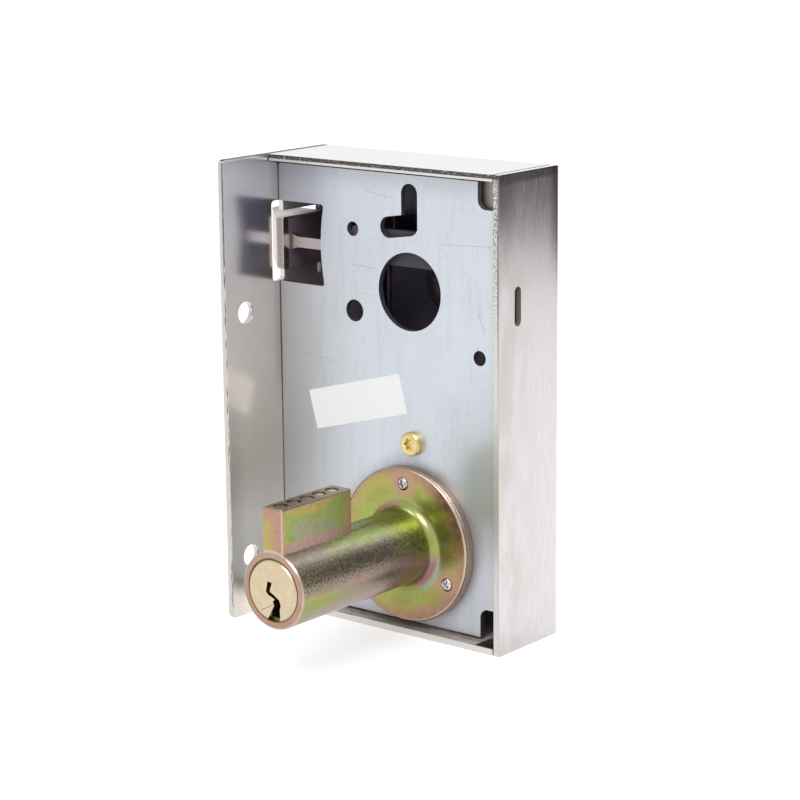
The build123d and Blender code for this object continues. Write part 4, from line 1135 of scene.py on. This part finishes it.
def makePanScrew():
    look = panScrew
    low, high = boxOf("brass_screw")
    headRadius = (high.x - low.x) / 2
    top = -low.y
    edge = look["edge"]
    rings = [
        (look["recessRadius"] * look["recessFloor"], top - look["recessDepth"], look["recessLobe"]),
        (look["recessRadius"], top - look["recessEase"], look["recessLobe"]),
        (look["recessRadius"] + look["recessFlare"], top, look["recessLobe"] * look["flareLobe"]),
        (look["recessRadius"] + look["flatRing"], top, 0.0),
        (headRadius - edge, top, 0.0),
        *((headRadius - edge * inwards, top - edge * down, 0.0) for inwards, down in look["edgeArc"]),
        (headRadius, top - edge, 0.0),
        (headRadius, 0.0, 0.0),
        (look["shankRadius"], 0.0, 0.0),
        (look["shankRadius"], -high.y, 0.0),
    ]
    mesh = turnedMesh("panScrew", rings, look["lobes"], look["steps"])
    middle = Vector(((low.x + high.x) / 2, 0.0, (low.z + high.z) / 2)) * mm
    mesh.transform(Matrix.Translation(middle) @ Matrix.Rotation(math.radians(90), 4, "X"))
    return settle(link("panScrew", mesh, "yellowBrass"), "brass_screw")


makePanScrew()


# A geometry tree with its sizes as named inputs, worn by a piece until its mesh is baked
class Growth(Tree):
    def __init__(self, name, sizes):
        group = bpy.data.node_groups.new(name, "GeometryNodeTree")
        super().__init__(group)
        self.sizes = sizes
        group.interface.new_socket("Geometry", in_out="INPUT", socket_type="NodeSocketGeometry")
        group.interface.new_socket("Geometry", in_out="OUTPUT", socket_type="NodeSocketGeometry")
        for title, size in sizes.items():
            kind = "NodeSocketInt" if isinstance(size, int) else "NodeSocketFloat"
            group.interface.new_socket(title, in_out="INPUT", socket_type=kind)

    def given(self, title):
        return self.add("NodeGroupInput", output=title)

    def vector(self, x, y, z):
        return self.add("ShaderNodeCombineXYZ", {}, {0: x, 1: y, 2: z})

    def end(self, instances, finish):
        whole = self.add("GeometryNodeRealizeInstances", {}, {"Geometry": instances})
        painted = self.add("GeometryNodeSetMaterial", {}, {"Geometry": whole, "Material": finishes[finish]})
        self.add("NodeGroupOutput", {}, {"Geometry": painted})

    def grow(self, piece):
        modifier = piece.modifiers.new(self.nodeTree.name, "NODES")
        modifier.node_group = self.nodeTree
        for item in self.nodeTree.interface.items_tree:
            if item.name in self.sizes:
                modifier[item.identifier] = self.sizes[item.name]
        bake(piece, modifier)


# Three small screws in the flange, each turned differently
flangeScrews = {
    "headRadius": 1.4,
    "headArc": ((0.75, 0.08), (0.88, 0.22), (0.97, 0.45), (1.0, 0.75)),
    "shankRadius": 0.9,
    "recessDepth": 0.6,
    "recessRadius": 0.68,
    "recessFloor": 0.6,
    "recessEase": 0.03,
    "recessLobe": 0.42,
    "lobes": 4,
    "steps": 32,
    "seed": 4,
}


def makeFlangeScrews():
    look = flangeScrews
    low, high = boxOf("flange_screws")
    seat = boxOf("flange_ring")[0].y
    top = seat - low.y
    radius = look["headRadius"]
    rings = [
        (look["recessRadius"] * look["recessFloor"], top - look["recessDepth"], look["recessLobe"]),
        (look["recessRadius"], top - look["recessEase"], look["recessLobe"]),
        *((radius * share, top - down, 0.0) for share, down in look["headArc"]),
        (radius, 0.0, 0.0),
        (look["shankRadius"], 0.0, 0.0),
        (look["shankRadius"], seat - high.y, 0.0),
    ]
    mesh = turnedMesh("flangeScrews", rings, look["lobes"], look["steps"])
    mesh.transform(Matrix.Rotation(math.radians(90), 4, "X"))
    piece = link("flangeScrews", mesh, "screwZinc")
    growth = Growth("ringOfScrews", {
        "Count": len(screwTurns),
        "Circle": screwCircle * mm,
        "First Turn": math.radians(screwTurns[0]),
        "Seat": seat * mm,
        "Height": axisZ * mm,
        "Seed": look["seed"],
    })
    circle = growth.add(
        "GeometryNodeMeshCircle", {}, {"Vertices": growth.given("Count"), "Radius": growth.given("Circle")}
    )
    upright = growth.vector(math.radians(90), growth.given("First Turn") * -1.0, 0.0)
    place = growth.vector(0.0, growth.given("Seat"), growth.given("Height"))
    circle = growth.add(
        "GeometryNodeTransform", {}, {"Geometry": circle, "Translation": place, "Rotation": upright}
    )
    spin = growth.add(
        "FunctionNodeRandomValue", {"data_type": "FLOAT"}, {3: 2 * math.pi, "Seed": growth.given("Seed")}, 1
    )
    turned = growth.vector(0.0, spin, 0.0)
    sockets = {"Points": circle, "Instance": growth.given("Geometry"), "Rotation": turned}
    growth.end(growth.add("GeometryNodeInstanceOnPoints", {}, sockets), "screwZinc")
    growth.grow(piece)
    return settle(piece, "flange_screws")


makeFlangeScrews()


# Five caps pressed into the chambers at the top of the tower
towerCaps = {"crown": 0.10, "crownArc": ((0.35, 0.0), (0.7, 0.4)), "edge": 0.22, "edgeArc": 0.3, "steps": 36}


def makeTowerCaps():
    look = towerCaps
    low, high = boxOf("pin_caps")
    radius = (high.x - low.x) / 2
    thickness = high.z - low.z
    crown, edge = look["crown"], look["edge"]
    rings = [
        *((radius * share, -crown * down, 0.0) for share, down in look["crownArc"]),
        (radius - edge, -crown, 0.0),
        (radius - edge * look["edgeArc"], -crown - edge * look["edgeArc"], 0.0),
        (radius, -crown - edge, 0.0),
        (radius, -thickness, 0.0),
    ]
    piece = link("towerCaps", turnedMesh("towerCaps", rings, 0, look["steps"]), "capBrass")
    growth = Growth("rowOfCaps", {
        "Count": capCount,
        "Pitch": (high.y - low.y - 2 * radius) / (capCount - 1) * mm,
        "First": (low.y + radius) * mm,
        "Top": high.z * mm,
    })
    start = growth.vector(0.0, growth.given("First"), growth.given("Top"))
    step = growth.vector(0.0, growth.given("Pitch"), 0.0)
    row = growth.add(
        "GeometryNodeMeshLine", {}, {"Count": growth.given("Count"), "Start Location": start, "Offset": step}
    )
    caps = growth.add(
        "GeometryNodeInstanceOnPoints", {}, {"Points": row, "Instance": growth.given("Geometry")}
    )
    growth.end(caps, "capBrass")
    growth.grow(piece)
    return settle(piece, "pin_caps")


makeTowerCaps()
print("screws and caps made")

# A small tab of sheet behind the upper notch of the base plate, seen through the notch
cornerTab = {
    "width": 8.2,
    "height": 9.0,
    "gap": 0.5,
    "thickness": 0.8,
    "clearance": 0.1,
    "radius": 3.0,
    "arcSteps": 6,
}


def makeCornerTab():
    look = cornerTab
    right = caseHigh.x - sheet - look["clearance"]
    top = caseHigh.z - sheet - look["clearance"]
    left, bottom = right - look["width"], top - look["height"]
    frontY = plateHigh.y + look["gap"]
    backY = frontY + look["thickness"]
    radius = look["radius"]
    outline = [(right, top), (left, top)]
    for step in range(look["arcSteps"] + 1):
        turn = math.pi + step * math.pi / 2 / look["arcSteps"]
        outline.append((left + radius + radius * math.cos(turn), bottom + radius + radius * math.sin(turn)))
    outline.append((right, bottom))
    work = bmesh.new()
    front = [work.verts.new((x * mm, frontY * mm, z * mm)) for x, z in outline]
    back = [work.verts.new((x * mm, backY * mm, z * mm)) for x, z in outline]
    work.faces.new(front)
    work.faces.new(list(reversed(back)))
    for index in range(len(outline)):
        after = (index + 1) % len(outline)
        work.faces.new((front[index], back[index], back[after], front[after]))
    bmesh.ops.recalc_face_normals(work, faces=work.faces)
    mesh = bpy.data.meshes.new("cornerTab")
    work.to_mesh(mesh)
    work.free()
    piece = link("cornerTab", mesh, "tabSteel")
    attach(piece, bodyOf["case"])


makeCornerTab()

# CAD pieces that keep their own mesh
plainFinishes = {
    "label": "labelFilm",
    "tail_pin": "innerSteel",
    "spring_seat": "innerSteel",
    "lever_pin": "innerSteel",
    "pivot_post": "innerSteel",
    "lever_washer": "innerSteel",
    "driver_pins": "yellowBrass",
    "key_pins": "yellowBrass",
    "drive_cam": "innerSteel",
    "cam_screws": "screwZinc",
    "cam_pin": "innerSteel",
    "knob_bush": "yellowBrass",
    "knob_spindle": "innerSteel",
    "crank_screw": "innerSteel",
}
for node, finish in plainFinishes.items():
    mesh = nodes[node].data
    mesh.materials.clear()
    mesh.materials.append(finishes[finish])
print("CAD pieces dressed:", len(plainFinishes))


# Studio: a pale floor, a white surround, soft lamps and a dark screen that metal can show
studio = {
    "floorSize": 6.0,
    "floorPale": (0.50, 0.50, 0.50),
    "floorGlow": 0.62,
    "sheetRough": 0.9,
    "ambient": 0.80,
    "lamps": (
        {"name": "keyLamp", "at": (0.30, -0.70, 0.90), "size": 0.5, "power": 5.0},
        {"name": "topLamp", "at": (-0.20, 0.10, 1.10), "size": 0.6, "power": 4.0},
    ),
    "aim": (0.0, 0.0, 0.05),
    "screens": (
        {"name": "darkScreen", "x": (0.10, 0.95), "y": 0.47, "z": (0.0, 0.6), "tone": (0.04, 0.032, 0.045)},
    ),
}


def makeWorld():
    world = bpy.data.worlds.new("paleStudio")
    bpy.context.scene.world = world
    world.use_nodes = True
    tree = Tree(world.node_tree)
    background = world.node_tree.nodes["Background"]
    ambient = studio["ambient"]
    tree.feed(background.inputs["Color"], (1.0, 1.0, 1.0))
    tree.feed(background.inputs["Strength"], tree.whiteToLens() * (1 - ambient) + ambient)


def makeSheet(name, corners, colour):
    mesh = bpy.data.meshes.new(name)
    mesh.from_pydata(corners, [], [(0, 1, 2, 3)])
    stageSheet = bpy.data.objects.new(name, mesh)
    bpy.context.scene.collection.objects.link(stageSheet)
    shader = Shader(name)
    shader.finish(Base_Color=colour, Roughness=studio["sheetRough"])
    mesh.materials.append(shader.material)
    return stageSheet, shader


def makeFloor():
    half = studio["floorSize"] / 2
    corners = [(-half, -half, 0), (half, -half, 0), (half, half, 0), (-half, half, 0)]
    shader = makeSheet("studioFloor", corners, studio["floorPale"])[1]
    glow = shader.whiteToLens() * studio["floorGlow"]
    shader.finish(Emission_Color=(1.0, 1.0, 1.0), Emission_Strength=glow)


def makeScreen(look):
    (left, right), y, (low, high) = look["x"], look["y"], look["z"]
    corners = [(left, y, low), (right, y, low), (right, y, high), (left, y, high)]
    screen = makeSheet(look["name"], corners, look["tone"])[0]
    screen.visible_camera = False
    screen.visible_diffuse = False
    screen.visible_shadow = False


def makeLamp(look):
    light = bpy.data.lights.new(look["name"], "AREA")
    light.size = look["size"]
    light.energy = look["power"]
    lamp = bpy.data.objects.new(look["name"], light)
    bpy.context.scene.collection.objects.link(lamp)
    lamp.location = look["at"]
    aim = Vector(studio["aim"]) - lamp.location
    lamp.rotation_euler = aim.to_track_quat("-Z", "Y").to_euler()


makeWorld()
makeFloor()
for lampLook in studio["lamps"]:
    makeLamp(lampLook)
for screenLook in studio["screens"]:
    makeScreen(screenLook)

lens = {
    "at": (0.32864, -0.40694, 0.17134),
    "forward": (-0.61595, 0.75627, -0.22060),
    "roll": -0.524,
    "focal": 109.76,
    "sensor": 36.0,
    "nearest": 0.01,
}


def makeCamera():
    data = bpy.data.cameras.new("photoCamera")
    data.lens = lens["focal"]
    data.sensor_width = lens["sensor"]
    data.clip_start = lens["nearest"]
    camera = bpy.data.objects.new("photoCamera", data)
    bpy.context.scene.collection.objects.link(camera)
    forward = Vector(lens["forward"]).normalized()
    level = forward.cross(Vector((0, 0, 1))).normalized()
    upright = level.cross(forward)
    roll = math.radians(lens["roll"])
    right = level * math.cos(roll) + upright * math.sin(roll)
    up = right.cross(forward)
    turn = Matrix((right, up, -forward)).transposed()
    camera.matrix_world = Matrix.Translation(lens["at"]) @ turn.to_4x4()
    bpy.context.scene.camera = camera


makeCamera()
bpy.context.scene.view_settings.view_transform = "Standard"
print("studio and camera set")
